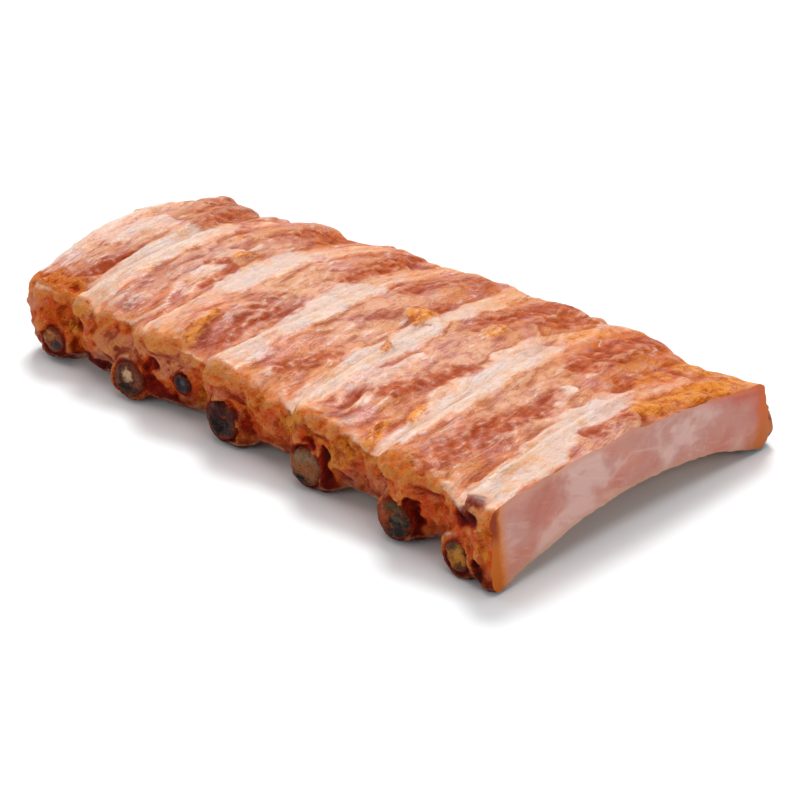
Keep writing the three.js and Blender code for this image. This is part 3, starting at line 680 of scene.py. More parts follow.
def buildMeat(paths):
    piece = newPiece("smoked_meat", *meatSkin(paths))
    remesh = piece.modifiers.new("remesh", "REMESH")
    remesh.mode = "VOXEL"
    remesh.voxel_size = slab["voxel"] * mm
    soften = piece.modifiers.new("soften", "SMOOTH")
    soften.factor = 0.5
    soften.iterations = meat["smoothing"]
    mesh = appliedMesh(piece)
    points = readPoints(mesh) / mm
    normals = readPoints(mesh, "normal")
    tones, flow, sides = meatFields(points, normals, paths)
    points = points + normals * fineRelief(points, tones, flow, sides)[:, None]
    points = clearOfBones(points, paths)
    points[:, 2] = np.maximum(points[:, 2], -rackShift[2])  # nothing reaches below the floor
    mesh.vertices.foreach_set("co", ((points + rackShift) * mm).ravel())
    mesh.update()
    writeTones(mesh, tones, flow, creases(mesh, points, readPoints(mesh, "normal")))
    trimAtCut(mesh)
    mesh.materials.append(meatLook())
    mesh.materials.append(cutLook())
    mesh.polygons.foreach_set("use_smooth", [True] * len(mesh.polygons))
    mesh.set_sharp_from_angle(angle=math.radians(meat["sharpAngle"]))
    return piece


def clearOfBones(points, paths):  # the meat stays a little below each bone's end face
    for path, atFront, radius in boneEnds(paths):
        axis, along, across = fromBoneEnd(points, path, atFront)
        lap = 1.5 * noiseInSpace(points, 3.1, 107) + 0.7 * noiseInSpace(points, 1.6, 109) - 0.4
        inside = smooth(radius + 1.0 + lap, radius + 0.2 + lap, across)
        lift = np.clip(meat["boneRecess"] - along, 0, 3) * inside * (along > -3)
        points = points + lift[:, None] * axis
    return points


def trimAtCut(mesh):  # a clean flat face at the near end
    cutX = (slab["halfLength"] + rackShift[0]) * mm
    form = bmesh.new()
    form.from_mesh(mesh)
    geometry = form.verts[:] + form.edges[:] + form.faces[:]
    cut = bmesh.ops.bisect_plane(
        form, geom=geometry, plane_co=(cutX, 0, 0), plane_no=(1, 0, 0), clear_outer=True)
    edges = [item for item in cut["geom_cut"] if isinstance(item, bmesh.types.BMEdge)]
    filled = bmesh.ops.edgeloop_fill(form, edges=edges)
    for face in filled["faces"]:
        face.material_index = 1
        face.normal_update()
        if face.normal.x < 0:
            face.normal_flip()
    form.to_mesh(mesh)
    form.free()


# Shaders
def paint(code):  # a colour as it is seen, turned into light values
    values = [int(code[k:k + 2], 16) / 255 for k in (1, 3, 5)]
    return tuple(v / 12.92 if v <= 0.04045 else ((v + 0.055) / 1.055) ** 2.4 for v in values) + (1,)


class Wire:
    # one socket of a material's nodes, with maths on values as plain expressions
    def __init__(self, tree, socket=None):
        self.tree = tree
        self.socket = socket

    def node(self, kind, settings=None, sockets=None, output=0):
        made = self.tree.nodes.new(kind)
        for name, value in (settings or {}).items():
            setattr(made, name, value)
        for name, value in (sockets or {}).items():
            if isinstance(value, Wire):
                self.tree.links.new(value.socket, made.inputs[name])
            else:
                made.inputs[name].default_value = value
        return Wire(self.tree, made.outputs[output] if made.outputs else None)

    def maths(self, operation, first, second=0.0):
        return self.node("ShaderNodeMath", {"operation": operation}, {0: first, 1: second})

    def __add__(self, other):
        return self.maths("ADD", self, other)

    def __radd__(self, other):
        return self.maths("ADD", other, self)

    def __sub__(self, other):
        return self.maths("SUBTRACT", self, other)

    def __rsub__(self, other):
        return self.maths("SUBTRACT", other, self)

    def __mul__(self, other):
        return self.maths("MULTIPLY", self, other)

    def __rmul__(self, other):
        return self.maths("MULTIPLY", other, self)

    def __truediv__(self, other):
        return self.maths("DIVIDE", self, other)

    def __rtruediv__(self, other):
        return self.maths("DIVIDE", other, self)

    def __pow__(self, other):
        return self.maths("POWER", self, other)

    def __rpow__(self, other):
        return self.maths("POWER", other, self)

    def __abs__(self):
        return self.maths("ABSOLUTE", self)

    def swing(self, size):  # a noise about its middle
        return (self - 0.5) * size

    def eased(self, low, high):  # 0 at low, 1 at high, soft between
        sockets = {"Value": self, "From Min": low, "From Max": high}
        return self.node("ShaderNodeMapRange", {"interpolation_type": "SMOOTHSTEP"}, sockets)

    def colour(self, code):
        shade = self.node("ShaderNodeRGB")
        shade.socket.default_value = paint(code)
        return shade

    def over(self, code, share):  # this colour turned into another one by the share
        other = code if isinstance(code, Wire) else paint(code)
        return self.node("ShaderNodeMix", {"data_type": "RGBA"}, {0: share, 6: self, 7: other}, 2)

    def tinted(self, code, share):  # this colour times another one, by the share
        settings = {"data_type": "RGBA", "blend_type": "MULTIPLY"}
        return self.node("ShaderNodeMix", settings, {0: share, 6: self, 7: paint(code)}, 2)

    def stretched(self, scale):
        return self.node("ShaderNodeVectorMath", {"operation": "MULTIPLY"}, {0: self, 1: scale})

    def moved(self, offset):
        return self.node("ShaderNodeVectorMath", {"operation": "ADD"}, {0: self, 1: offset})

    def length(self):
        return self.node("ShaderNodeVectorMath", {"operation": "LENGTH"}, {0: self}, "Value")

    def axis(self, name):
        return self.node("ShaderNodeSeparateXYZ", {}, {"Vector": self}, name)

    def held(self, name):  # a vector kept on the mesh's points
        return self.node("ShaderNodeAttribute", {"attribute_name": name}, {}, "Vector")

    def grain(self, scale, detail=3.0, rough=0.5, twist=0.0):  # noise over this vector
        sockets = {"Vector": self, "Scale": scale, "Detail": detail, "Roughness": rough}
        return self.node("ShaderNodeTexNoise", {}, {**sockets, "Distortion": twist}, "Fac")

    def cells(self, scale):
        return self.node("ShaderNodeTexVoronoi", {}, {"Vector": self, "Scale": scale}, "Distance")


def newLook(name):
    material = bpy.data.materials.new(name)
    material.use_nodes = True
    material.node_tree.nodes.clear()
    wire = Wire(material.node_tree)
    return material, wire, wire.node("ShaderNodeTexCoord", {}, {}, "Object").stretched((1 / mm,) * 3)


def finishLook(wire, colour, roughness, height, coat, settings):
    # the shader and its output; the bump's height is in mm
    sockets = {"Height": height, "Distance": mm, "Strength": settings["bump"]}
    normal = wire.node("ShaderNodeBump", {}, sockets)
    sockets = {
        "Base Color": colour, "Roughness": roughness, "Normal": normal,
        "Subsurface Weight": settings["glow"], "Subsurface Radius": (1.0, 0.42, 0.26),
        "Subsurface Scale": settings["glowDepth"] * mm, "Specular IOR Level": settings["shine"],
        "Coat Weight": coat, "Coat Roughness": settings["coatRough"],
    }
    shader = wire.node("ShaderNodeBsdfPrincipled", {"subsurface_method": "RANDOM_WALK"}, sockets, "BSDF")
    wire.node("ShaderNodeOutputMaterial", {}, {"Surface": shader})


topLook = {
    # meat between the bands, from the front edge to the back, and painted highlights, sheen and shade on
    # it
    "front": "#ea8e62", "middle": "#f2b08c", "back": "#e07e42", "backOrange": "#dc6a1a",
    "pink": "#dc9088", "peach": "#e8a064", "light": "#fcdcc4", "lilacSheen": "#eed0cc",
    "groove": "#9c3c1a", "ridge": "#fde2cc", "dusky": "#c4786e", "duskyDeep": "#984848",
    # pale bands, browned meat, golden fat
    "paleFront": "#efc4a4", "paleMiddle": "#efd0bc", "paleBack": "#eeae7c", "paleGrey": "#ecdcd6",
    "palePeach": "#ecaa74", "rust": "#cc5a22", "rustDeep": "#a63a0e", "rustLight": "#ec9458",
    "gold": "#f49830", "goldDeep": "#cc620e", "stain": "#6c1a28",
    # crust of the edges, with painted highlights on its lumps and painted shade in its hollows and near
    # the floor
    "crust": "#fc7820", "crustHighlight": "#ff8a34", "crustDeep": "#b43008", "crustLow": "#742608",
    "crustRed": "#f4581c", "crustBack": "#b0562a", "crustPink": "#f4946c", "rimPale": "#ff9838",
    "fleckAndGlint": "#ffa656", "fat": "#ff9a2a", "fatDeep": "#d4600e", "pocketShade": "#2c0603", "shadow": "#b4543a",
    # underside
    "under": "#d69c7c", "underPale": "#e8c8b0", "underRed": "#b25a40",
    # noises in space, coarse to fine: scale for each mm, detail, roughness
    "noises": {
        "cloud": (0.07, 3, 0.55), "patch": (0.16, 4, 0.6), "blotch": (0.33, 4, 0.65),
        "fine": (1.0, 4, 0.65), "speck": (2.6, 3, 0.7),
    },
    "bump": 1.0, "glow": 0.1, "glowDepth": 1.5, "shine": 0.04, "coatRough": 0.26,
}


def layered(m, base, layers):  # colours of a palette laid over each other, each by its share
    colour = m.wire.colour(m.palette[base]) if isinstance(base, str) else base
    for name, share in layers:
        colour = colour.over(m.palette[name] if isinstance(name, str) else name, share)
    return colour


def meatSpot(wire, spot):  # all that the meat's colours depend on, at each spot of the skin
    toneA, toneB, place, flow = (wire.held(name) for name in ("toneA", "toneB", "place", "flow"))
    m = SimpleNamespace(wire=wire, palette=topLook, spot=spot, up=spot.axis("Z"))
    m.pale, m.rust, m.dusky = (toneA.axis(name) for name in "XYZ")
    m.gold, m.crust, m.dark = (toneB.axis(name) for name in "XYZ")
    m.share, m.under, m.crease = (place.axis(name) for name in "XYZ")
    for name, sizes in topLook["noises"].items():
        setattr(m, name, spot.grain(*sizes))
    # threads along the flow of the meat, and wrinkles where a noise passes its middle
    m.threads = flow.stretched((0.34, 0.07, 0)).grain(1, 5, 0.62, 0.5)
    m.fineThreads = flow.stretched((1.1, 0.3, 0)).grain(1, 4, 0.65, 0.7)
    m.wrinkle = abs(flow.stretched((0.26, 0.06, 0)).moved((3, 9, 0)).grain(1, 4, 0.55, 0.8).swing(2))
    m.crinkle = abs(flow.stretched((0.85, 0.17, 0)).moved((8, 2, 0)).grain(1, 3, 0.6, 0.6).swing(2))
    m.mottle = m.speck * 0.5 + m.fine * 0.5
    m.waver = m.blotch.swing(0.7) + m.threads.swing(1.1) + m.fineThreads.swing(0.5) + m.speck.swing(0.3)
    m.puffed = (m.wrinkle + m.crinkle * 0.4).eased(0.14, 0.5)
    # painted shade: darker in the creases of the skin
    m.valley = (m.crease + m.fineThreads.swing(0.3)).eased(0.0, -0.32)
    m.towardsCut = m.spot.axis("X").eased(35, 98) * m.share.eased(0.4, 0.75)
    slanted = wire.node("ShaderNodeMapping", {}, {"Vector": spot, "Rotation": (0, 0.72, 0)})
    m.fibres = slanted.stretched((0.28, 0.8, 1.1)).grain(0.8, 5, 0.65, 0.5)
    m.lumps = m.crease + m.fine.swing(0.8) + m.fibres.swing(2.0)
    # where each kind of meat shows
    m.paleHere = (m.pale * 1.05 + m.waver * 0.8).eased(0.1, 0.85)
    m.duskyHere = (m.dusky + m.waver * 0.6).eased(0.15, 0.85)
    m.brownHere = (m.rust * 1.05 + m.waver * 1.1).eased(0.08, 0.9)
    m.goldHere = (m.gold * 1.1 + m.fine.swing(0.5) + m.waver * 0.5).eased(0.25, 0.95)
    m.crustHere = (m.crust + m.fine.swing(0.4) + m.blotch.swing(1.0)).eased(0.2, 0.9)
    # painted shade falls here: in the pockets, between the lumps, round the bones and near the floor
    m.hollow = m.dark + m.blotch.swing(0.7) + m.fine.swing(0.4) - m.lumps * 0.25
    return m


def bareMeat(m):  # the meat between the bands
    strand = m.threads * 0.75 + m.fineThreads * 0.25 + m.mottle.swing(0.3)
    puffedStrand = strand + (m.puffed - 0.4) * 0.3
    return layered(m, "front", [
        ("middle", m.share.eased(0.12, 0.42)),
        ("back", m.share.eased(0.48, 0.85)),
        ("backOrange", m.towardsCut * 0.85),
        ("pink", (m.patch + m.threads.swing(0.5)).eased(0.48, 0.64) * 0.7),
        ("peach", m.cloud.eased(0.5, 0.64) * 0.5),
        ("dusky", m.duskyHere * 0.85),
        # painted shade: duskier still in the creases
        ("duskyDeep", m.duskyHere * m.valley * 0.5),
        # painted highlights and sheen on the raised strands and wrinkles
        ("light", puffedStrand.eased(0.52, 0.7) * 0.65),
        ("lilacSheen", puffedStrand.eased(0.5, 0.66) * m.patch.eased(0.5, 0.6) * 0.6),
        ("groove", strand.eased(0.45, 0.3) * 0.45),
    ])


def paleBand(m):  # fat and membrane over the ribs
    notAtBack = m.share.eased(0.9, 0.5)
    return layered(m, "paleFront", [
        ("paleMiddle", m.share.eased(0.15, 0.4)),
        ("paleBack", m.share.eased(0.5, 0.85)),
        ("palePeach", (m.cloud + m.blotch.swing(0.4)).eased(0.5, 0.66) * 0.6),
        ("backOrange", m.towardsCut * 0.55),
        # painted sheen: the grey-white and lilac patches on the band
        ("paleGrey", (m.patch + m.threads.swing(0.4)).eased(0.47, 0.62) * notAtBack * 0.7),
        ("pink", (m.threads + m.fineThreads.swing(0.5)).eased(0.42, 0.3) * 0.38),
        ("lilacSheen", (m.patch + (m.cloud - 0.5) - m.threads.swing(0.3)).eased(0.5, 0.38) * notAtBack * 0.4),
    ])


def brownedMeat(m):
    deep = m.fine * 0.5 + m.blotch * 0.6 + m.threads.swing(0.5) - (m.puffed - 0.4) * 0.2
    lighter = m.mottle + m.crease * 0.5 + m.fineThreads.swing(0.3)
    return layered(m, "rust", [
        ("rustDeep", deep.eased(0.48, 0.68) * 0.8),
        ("rustLight", lighter.eased(0.52, 0.72) * 0.6),
    ])


def topColour(m):
    golden = layered(m, "gold", [("goldDeep", (m.blotch + m.fine.swing(0.5)).eased(0.44, 0.62))])
    brink = (m.share + m.blotch.swing(0.06) + m.fine.swing(0.03)).eased(0.06, 0.012)
    # painted shade in the grooves of the wrinkles
    grooveShade = m.wrinkle.eased(0.1, 0.0) * 0.8 + m.crinkle.eased(0.1, 0.0) * 0.3
    grooveShade = grooveShade * (m.patch + (m.blotch - 0.5)).eased(0.36, 0.56)
    grooveShade = grooveShade * ((1 - m.pale * 0.55) * (1 - m.share.eased(0.55, 0.85) * 0.6))
    # painted highlight on the crests
    crests = (m.crease + m.fineThreads.swing(0.3) + m.mottle.swing(0.5)).eased(0.0, 0.34)
    return layered(m, bareMeat(m), [
        (paleBand(m), m.paleHere * 0.92),
        ("rimPale", brink * 0.42),
        (brownedMeat(m), m.brownHere * 0.88),
        (golden, m.goldHere * 0.9),
        # painted shade in the wrinkles' grooves and the creases, painted highlights on the crests
        ("groove", grooveShade * 0.5),
        ("groove", m.valley * (0.6 - m.paleHere * 0.4)),
        ("ridge", crests * 0.42 * (1 - m.brownHere * 0.75) * (1 - m.goldHere * 0.9)),
        ("groove", m.mottle.eased(0.46, 0.32) * (0.36 - m.paleHere * 0.16)),
        # real stains on the top; the painted shade of the same tone lies mostly under the crust
        ("stain", (m.dark + m.waver * 0.5).eased(0.05, 0.95) * 0.9),
    ])


def crustColour(m):  # the crust of the edges, with painted shade towards the floor, in its hollows and pockets and round the bones, and painted highlights on its lumps
    drift = m.spot.stretched((1, 1, 0.6)).grain(0.24, 4, 0.6)
    wide = m.blotch.swing(0.8)
    # painted highlight: lighter higher up and on the lumps
    high = (m.up - 20) * 0.08 + m.blotch.swing(1.3) + m.lumps * 0.6
    # the pale rim follows the pale bands, with painted highlight higher up and on the lumps
    paleRim = m.pale + (m.blotch - 0.5) + (m.up - 26) * 0.035 + m.lumps * 0.4
    fat = layered(m, "fat", [("fatDeep", drift.eased(0.42, 0.6))])
    # random flecks, with painted glints on the crests and higher up
    flecksAndGlints = m.mottle + m.crease * 0.4 + m.fibres.swing(0.4) + (m.up - 18) * 0.003
    shell = layered(m, "crust", [
        ("crustRed", (drift + m.fibres.swing(0.6)).eased(0.42, 0.58) * 0.9),
        ("crustPink", m.patch.eased(0.56, 0.68) * 0.4),
        ("crustPink", (m.dusky + wide + m.fibres.swing(0.5)).eased(0.2, 0.9) * 0.8),
        ("crustPink", (m.pale + wide + m.lumps * 0.3).eased(0.15, 0.85) * 0.85),
        ("crustHighlight", high.eased(0.0, 0.7) * 0.8),
        ("rimPale", paleRim.eased(0.3, 1.0) * 0.6),
        ("crustBack", m.share.eased(0.6, 0.95) * 0.55),
        (fat, (m.gold + m.fine.swing(0.3) + m.blotch.swing(0.6)).eased(0.15, 0.8) * 0.9),
        # painted shade: darker towards the floor, near black at it
        ("crustLow", (m.up + m.blotch.swing(12)).eased(13.0, 0.5) * 0.7),
        ("pocketShade", (m.up + m.blotch.swing(6)).eased(4.5, 0.0) * 0.6),
        # painted shade between the lumps
        ("crustDeep", (m.lumps + drift.swing(0.6)).eased(0.02, -0.5) * 0.72),
        ("crustDeep", m.mottle.eased(0.48, 0.34) * 0.6),
        ("fleckAndGlint", flecksAndGlints.eased(0.56, 0.75) * 0.65),
    ])
    # painted shade in the hollows, the pockets, round the bones and near the floor
    shell = shell.tinted(topLook["shadow"], m.hollow.eased(0.0, 0.7))
    return layered(m, shell, [("pocketShade", m.hollow.eased(0.35, 1.25) * 0.85)])


def undersideColour(m):  # the membrane between the ribs
    return layered(m, "under", [
        ("underPale", (m.patch + m.threads.swing(0.4)).eased(0.46, 0.62)),
        ("underRed", (m.cloud + m.blotch.swing(0.5)).eased(0.52, 0.68) * 0.7),
    ])


def meatLook():
    material, wire, spot = newLook("smokedMeat")
    m = meatSpot(wire, spot)
    colour = layered(m, topColour(m), [
        (crustColour(m), m.crustHere),
        (undersideColour(m), m.under * (1 - m.crustHere * 0.7)),
    ])
    roughness = 0.42 + m.fine.swing(0.3) + m.speck.swing(0.3)
    relief = m.threads * 0.9 + m.fineThreads * 0.6 + m.wrinkle * 1.3 + m.crinkle * 0.5
    relief = relief * (1 - m.crustHere) * (1 - m.paleHere * 0.4)
    relief = relief + m.fine * (0.5 + m.crustHere * 0.9) + m.blotch * 0.6
    relief = relief + m.speck * (0.28 + m.crustHere * 0.35) + m.fibres * m.crustHere * 3.0
    gloss = (m.mottle + m.crease * 0.6).eased(0.38, 0.62) * (0.26 - m.crustHere * 0.15)
    gloss = gloss * (1 - m.hollow.eased(0.0, 0.5) * m.crustHere)
    finishLook(wire, colour, roughness, relief, gloss * (1 - m.under) + 0.03, topLook)
    return material


cutSurface = {
    "ground": "#c68c80", "pinker": "#cf8874", "red": "#c26e5a", "cloud": "#deb4aa", "vein": "#e4c0b0",
    "topRed": "#c8503a", "rim": "#d29680", "bottom": "#c49474",
    "edgeOrange": "#d87e30", "orange": "#c2600e", "stain": "#8a2c12",    # front margin
    "topLine": "#d46c30", "backOrange": "#cc6426", "foot": "#bc6216",    # back margin
    "bump": 0.3, "glow": 0.15, "glowDepth": 2, "shine": 0.05, "coatRough": 0.25,
}


def cutSpot(wire, spot):  # places on the cut face, in mm from its edges, and its noises
    frontRim, backRim = (float(rim) for rim in rimLines(slab["halfLength"]))
    m = SimpleNamespace(wire=wire, palette=cutSurface, z=spot.axis("Z"))
    m.share = (spot.axis("Y") - float(rackShift[1]) - frontRim) / (backRim - frontRim)
    hump = 1 - (m.share * 2 - 1) ** 2.0
    top = slab["frontHeight"] + m.share * (slab["backHeight"] - slab["frontHeight"])
    m.fromTop = top + hump * slab["crownNear"] - m.z
    m.fromBottom = m.z - hump * slab["archNear"]
    m.fromFront = m.share * (backRim - frontRim)
    m.fromBack = (1 - m.share) * (backRim - frontRim)
    m.cloud = spot.stretched((1, 0.55, 1)).grain(0.09, 2, 0.5, 0.3)
    m.patch = spot.moved((40, 0, 9)).stretched((1, 0.7, 1)).grain(0.085, 2, 0.5, 0.3)
    m.blotch = spot.grain(0.3, 3, 0.55)
    m.fine = spot.grain(1.3, 3, 0.6)
    veinNoise = spot.moved((3, 30, 5)).stretched((1, 0.6, 1)).grain(0.05, 2, 0.5, 0.8)
    m.veins = (1 - abs(veinNoise.swing(2))) ** 40  # thin lines where the noise passes its middle
    streak = spot.stretched((1, 0.5, 1)).moved((7, 0, 0))
    streak = wire.node("ShaderNodeMapping", {}, {"Vector": streak, "Rotation": (0.6, 0, 0)})
    m.streaks = streak.stretched((1, 0.35, 1.2)).grain(0.3, 4, 0.6, 0.4)
    return m


def cutColour(m):
    pallor = m.patch + m.blotch.swing(0.25) + m.streaks.swing(0.3)
    pallor = pallor - m.share.eased(0.08, 0.2) * m.share.eased(0.42, 0.3) * 0.09
    underTop = (m.fromTop + m.blotch.swing(4)).eased(5.0, 0.5)
    topLine = (m.fromTop + m.blotch.swing(1.5)).eased(1.8, 0.3)
    front = m.fromFront + (m.z - 24) * 0.13 + m.blotch.swing(2.5) + m.fine.swing(1.2)
    back = m.fromBack + m.blotch.swing(3) + (m.fine - 0.5)
    return layered(m, "ground", [
        ("pinker", m.cloud.eased(0.42, 0.64) * 0.8),
        ("red", (m.patch + m.streaks.swing(0.3)).eased(0.5, 0.7) * 0.65),
        ("cloud", pallor.eased(0.5, 0.32) * 0.75),
        ("vein", m.streaks.eased(0.56, 0.7) * 0.3),
        ("red", m.streaks.eased(0.44, 0.3) * 0.3),
        ("vein", m.veins * m.share.eased(0.1, 0.3) * 0.35),
        ("cloud", (m.blotch + m.fine.swing(0.4)).eased(0.55, 0.75) * 0.25),
        # redder towards the back and under the top
        ("red", m.share.eased(0.75, 0.98) * 0.5),
        ("topRed", underTop * m.share.eased(0.66, 0.92) * 0.75),
        ("rim", (m.fromTop + m.blotch.swing(2)).eased(2.2, 0.2) * 0.6),
        ("bottom", (m.fromBottom + m.blotch.swing(1.5)).eased(2.0, 0.2) * 0.6),
        # browned front margin, wider towards the floor
        ("edgeOrange", front.eased(6.4, 2.2) * 0.8),
        ("orange", front.eased(4.0, 1.4) * 0.92),
        ("stain", front.eased(3.4, 1.0) * (m.z + m.blotch.swing(4)).eased(14, 20) * 0.9),
        # browned back margin
        ("topLine", topLine * m.share.eased(0.68, 0.88) * 0.8),
        ("topRed", back.eased(8.0, 2.0) * m.z.eased(8, 16) * 0.6),
        ("backOrange", back.eased(4.5, 0.8) * 0.9),
        ("foot", (back + m.fromBottom).eased(15.0, 5.0) * 0.7),
    ])


def cutLook():
    material, wire, spot = newLook("cutMeat")
    m = cutSpot(wire, spot)
    relief = m.blotch * 0.35 + m.fine * 0.2 + m.patch * 0.8 + m.streaks * 0.6
    finishLook(wire, cutColour(m), 0.42 + m.fine.swing(0.25), relief, 0.08, cutSurface)
    return material


# Bones
boneForm = {
    "sides": 56, "stepsAlong": 60, "capRings": 20,
    "endRound": 1.3, "marrowShare": 0.6, "marrowDepth": 0.45,
    "shaftTall": 3.9,     # inside the slab a bone is flatter than its ends
    "marrow": "#7a4c34", "rim": "#5c2410", "fleshRim": "#7c3010", "crumb": "#b85a20", "soot": "#1c0a06",
    "backFace": "#a8704a", "shaft": "#b98a68", "pore": "#8a6a58",
    "bump": 0.9, "glow": 0.05, "glowDepth": 1, "shine": 0.12, "coatRough": 0.28,
}

# each bone's front end: its colour, how much meat crumb lies on it, and patches as colour, place
# across and up, half sizes across and up in shares of the bone's radius, and strength
# the near-black patches low on bones 2, 5 and 6, in bone 4's hollow and in bone 7's crevice are painted
# shade
boneFaces = [
    {"face": "#904a1e", "crumb": 0.45, "patches": [
        ("#b0703c", -0.3, 0.4, 0.6, 0.5, 0.8), ("#2e2a38", 0.3, -0.4, 0.5, 0.45, 0.9)]},
    {"face": "#74381f", "crumb": 0.45, "patches": [
        ("#8a4630", 0.75, 0.1, 0.4, 0.8, 0.6), ("#30140a", -0.1, 0.15, 0.62, 0.75, 0.7),
        ("#dab088", -0.05, 0.25, 0.3, 0.42, 1), ("#1a140a", -0.1, -0.7, 0.95, 0.45, 0.9)]},
    {"face": "#4c2820", "crumb": 0.15, "patches": [
        ("#262630", 0, 0, 0.7, 0.6, 1), ("#5c6068", 0.1, 0.1, 0.35, 0.22, 0.6)]},
    {"face": "#54180c", "crumb": 0.1, "patches": [
        ("#32221f", 0.2, -0.15, 0.6, 0.5, 0.9), ("#0c0809", -0.6, -0.5, 0.8, 0.6, 1),
        ("#2c0604", 0.2, 0.75, 0.8, 0.4, 0.8), ("#8a3a1a", 0.4, -0.95, 0.6, 0.3, 0.7)]},
    {"face": "#8c5834", "crumb": 0.45, "patches": [
        ("#9c5a2a", 0, -0.1, 0.8, 0.3, 0.6), ("#8e7052", -0.1, 0.55, 0.6, 0.35, 0.7),
        ("#160c10", -0.45, -0.8, 0.7, 0.42, 1)]},
    {"face": "#7c3416", "crumb": 0.45, "patches": [
        ("#5c4c28", 0, 0.8, 0.9, 0.3, 0.9), ("#14140c", 0.4, -0.35, 0.8, 0.85, 1),
        ("#b4501e", -0.65, 0.15, 0.3, 0.5, 0.8), ("#6c5a44", 0.25, 0.1, 0.5, 0.14, 0.5)]},
    {"face": "#b4701e", "crumb": 0.45, "patches": [
        ("#34321a", -0.45, 0.7, 0.5, 0.5, 0.9), ("#c8862c", 0.1, 0.0, 0.4, 0.5, 0.8),
        ("#4c2010", 0.5, -0.7, 0.6, 0.4, 0.9)]},
]


def ribRadius(rib, share):  # how wide and how tall the bone is along its length
    end = mixed(rib["bone"], rib["backBone"], smooth(0.2, 0.8, share))
    shaft = smooth(0, 0.22, share) * (1 - smooth(0.9, 1, share))
    return mixed(end, end * 0.98, shaft), mixed(end, np.minimum(end, boneForm["shaftTall"]), shaft)


def buildBone(number, rib, path):
    sides = boneForm["sides"]
    share = np.linspace(0, 1, boneForm["stepsAlong"] + 1)
    wide, tall = ribRadius(rib, share)
    along = share * path["whole"]
    # each end is a cap of rings from the middle out, rounded at the edge and hollow at the marrow
    one = np.ones(boneForm["capRings"])
    scale = np.linspace(0.04, 1, boneForm["capRings"])
    edge = boneForm["endRound"] * (1 - np.sqrt(1 - np.clip((scale - 0.7) / 0.3, 0, 1) ** 2 + 1e-9))
    hollow = 1 - smooth(boneForm["marrowShare"] - 0.2, boneForm["marrowShare"], scale)
    depth = edge + boneForm["marrowDepth"] * hollow
    start = ringsAbout(path, 0 * one, depth, wide[0] * scale, tall[0] * scale, sides)
    body = ringsAbout(path, along[1:-1], 0 * along[1:-1], wide[1:-1], tall[1:-1], sides)
    end = ringsAbout(path, path["whole"] * one, -depth, wide[-1] * scale, tall[-1] * scale, sides)[::-1]
    points = np.concatenate([start, body, end])
    count = len(points)
    atFront = np.concatenate([one, 0 * share[1:-1], 0 * one])[:, None].repeat(sides, 1)
    atBack = atFront[::-1]
    radial = np.concatenate([scale, one[:1].repeat(len(body)), scale[::-1]])[:, None].repeat(sides, 1)
    points = points.reshape(-1, 3)
    pits = noiseInSpace(points, 1.3, 200 + number) * 0.45 + noiseInSpace(points, 3, 220 + number) * 0.8
    ahead = path["points"][1] - path["points"][0]
    ahead = ahead / np.linalg.norm(ahead)
    points = points + (pits * (atFront - atBack).ravel())[:, None] * ahead
    piece = newPiece(f"bone_{number}", points + rackShift, skinFaces(count, sides))
    mesh = piece.data
    # place on the end face, across and up, in shares of the radius
    turn = np.arange(sides) / sides * 2 * math.pi
    across = radial * np.sin(turn)
    up = radial * np.cos(turn)
    keepOnPoints(mesh, "boneSpot", np.stack([across, up, 0 * up], -1))
    keepOnPoints(mesh, "boneEnd", np.stack([atFront, atBack, radial], -1))
    mesh.polygons.foreach_set("use_smooth", [True] * len(mesh.polygons))
    mesh.materials.append(boneLook(number))
    return piece


def boneLook(number):
    face = boneFaces[number - 1]
    material, wire, spot = newLook(f"ribBone{number}")
    m = SimpleNamespace(wire=wire, palette=boneForm)
    boneSpot = wire.held("boneSpot")
    boneEnd = wire.held("boneEnd")
    atFront, atBack, radial = (boneEnd.axis(name) for name in "XYZ")
    blotch = spot.grain(0.5, 4, 0.65)
    fine = spot.grain(1.7, 3, 0.65)
    pores = spot.cells(1.7)
    crumbs = (blotch * 0.6 + fine * 0.4).eased(0.52, 0.66)
    ragged = radial + blotch.swing(1.8)
    front = wire.colour(face["face"])
    for code, across, up, halfAcross, halfUp, strength in face["patches"]:
        gap = boneSpot.moved((-across, -up, 0)).stretched((1 / halfAcross, 1 / halfUp, 0)).length()
        front = front.over(code, (gap + blotch.swing(1.7) + fine.swing(0.9)).eased(1.35, 0.6) * strength)
    front = layered(m, front, [
        ("crumb", crumbs * face["crumb"]),
        ("soot", (blotch * 0.5 + fine * 0.5).eased(0.46, 0.34) * 0.4),
        ("rim", ragged.eased(0.6, 1.05) * 0.7),
        ("fleshRim", (ragged + fine.swing(0.8)).eased(0.8, 1.05) * 0.85),
    ])
    back = layered(m, "backFace", [
        ("marrow", (radial + blotch.swing(0.8)).eased(0.75, 0.45)),
        ("rim", (radial + blotch.swing(1.4) + fine.swing(0.6)).eased(0.75, 1.0) * 0.8),
        ("crumb", crumbs * 0.4),
    ])
    colour = layered(m, "shaft", [("rim", blotch.eased(0.4, 0.7)), (front, atFront), (back, atBack)])
    colour = colour.tinted(boneForm["pore"], (fine * 0.7 + (pores - 0.3)).eased(0.4, 0.15) * 0.8)
    relief = fine * 0.5 + pores * 0.35 + blotch * 0.6
    finishLook(wire, colour, 0.5 + fine.swing(0.4), relief, 0.12, boneForm)
    return material


print("rack: working out the ribs")
paths = [ribPath(rib) for rib in ribs]
print("rack: modelling the meat")
meatPiece = buildMeat(paths)
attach(meatPiece, "root")
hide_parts("meat")
print("rack: modelling the bones")
for i, (rib, path) in enumerate(zip(ribs, paths)):
    bonePiece = buildBone(i + 1, rib, path)
    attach(bonePiece, "root")
    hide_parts(f"rib_bone_{i + 1}")

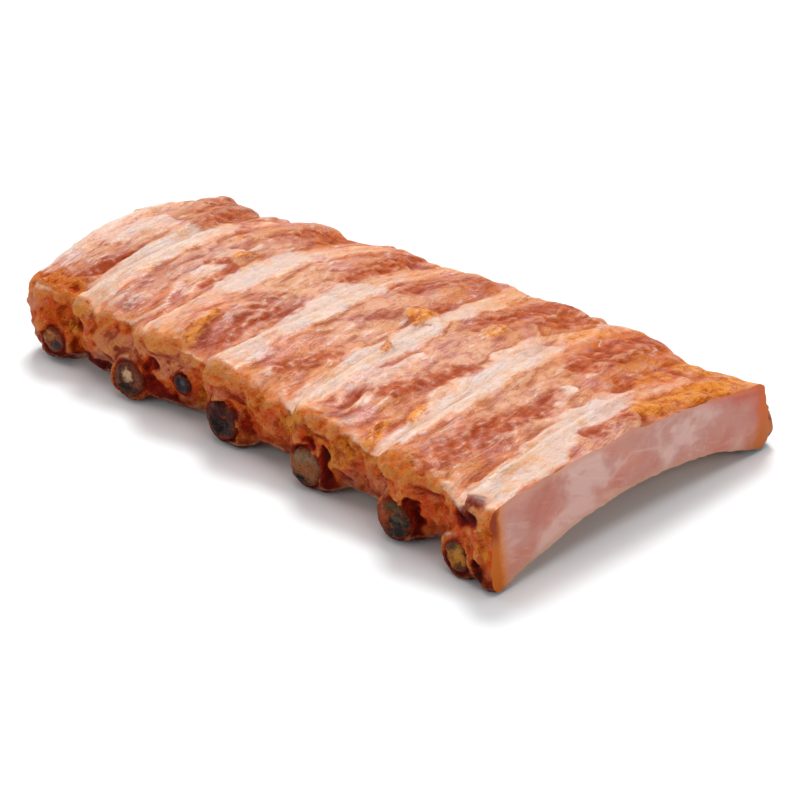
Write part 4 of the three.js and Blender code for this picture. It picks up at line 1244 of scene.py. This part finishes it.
# Floor, light and camera
studio = {
    "floorHalf": 2.5, "floorColour": (0.93, 0.955, 0.97, 1), "world": 0.2,
    "lights": [  # place in metres, size, power in watts
        ("key", (-0.65, 0.75, 1.9), 0.7, 27.5),
        ("behind", (-1.2, 1.35, 0.85), 1.1, 5),
        ("overhead", (0.2, 0.0, 2.3), 1.8, 20.5),
        ("left", (-1.9, -0.2, 0.9), 1.4, 7.5),
        ("side", (1.6, -0.3, 0.9), 0.9, 5.2),
        ("front", (0.2, -1.8, 1.0), 1.2, 5.5),
    ],
    "aim": (0, 0, 0.015),
}


def buildStudio():
    half = studio["floorHalf"]
    corners = np.array([[-half, -half, 0], [half, -half, 0], [half, half, 0], [-half, half, 0]]) / mm
    floor = newPiece("floor", corners, [(0, 1, 2, 3)])
    material, wire, _ = newLook("paleFloor")
    sockets = {"Base Color": studio["floorColour"], "Roughness": 0.9, "Specular IOR Level": 0.1}
    shader = wire.node("ShaderNodeBsdfPrincipled", {}, sockets, "BSDF")
    wire.node("ShaderNodeOutputMaterial", {}, {"Surface": shader})
    floor.data.materials.append(material)
    world = bpy.data.worlds.new("studio")
    world.use_nodes = True
    sky = world.node_tree.nodes["Background"]
    sky.inputs["Color"].default_value = (1, 1, 1, 1)
    sky.inputs["Strength"].default_value = studio["world"]
    bpy.context.scene.world = world
    for name, at, size, power in studio["lights"]:
        light = bpy.data.lights.new(name, "AREA")
        light.shape = "SQUARE"
        light.size = size
        light.energy = power
        lamp = bpy.data.objects.new(name, light)
        lamp.location = at
        lamp.rotation_euler = (Vector(studio["aim"]) - lamp.location).to_track_quat("-Z", "Y").to_euler()
        bpy.context.collection.objects.link(lamp)
    bpy.context.scene.view_settings.view_transform = "Standard"


camera = {  # fitted to the photo: angles in degrees, distances in mm, in the rack's axes
    "azimuth": 43.34, "elevation": 26.09, "distance": 831.1, "target": (19.18, -6.68, 12),
    "fieldOfView": 16, "sensorWidth": 36,
}


def buildCamera():
    data = bpy.data.cameras.new("camera")
    data.sensor_width = camera["sensorWidth"]
    data.angle = math.radians(camera["fieldOfView"])
    eye = bpy.data.objects.new("camera", data)
    turn = math.radians(camera["azimuth"])
    tilt = math.radians(camera["elevation"])
    back = Vector((math.sin(turn) * math.cos(tilt), -math.cos(turn) * math.cos(tilt), math.sin(tilt)))
    target = Vector(camera["target"]) + Vector(rackShift)
    eye.location = (target + back * camera["distance"]) * mm
    eye.rotation_euler = back.to_track_quat("Z", "Y").to_euler()
    bpy.context.collection.objects.link(eye)
    bpy.context.scene.camera = eye


print("rack: setting up the studio")
buildStudio()
buildCamera()
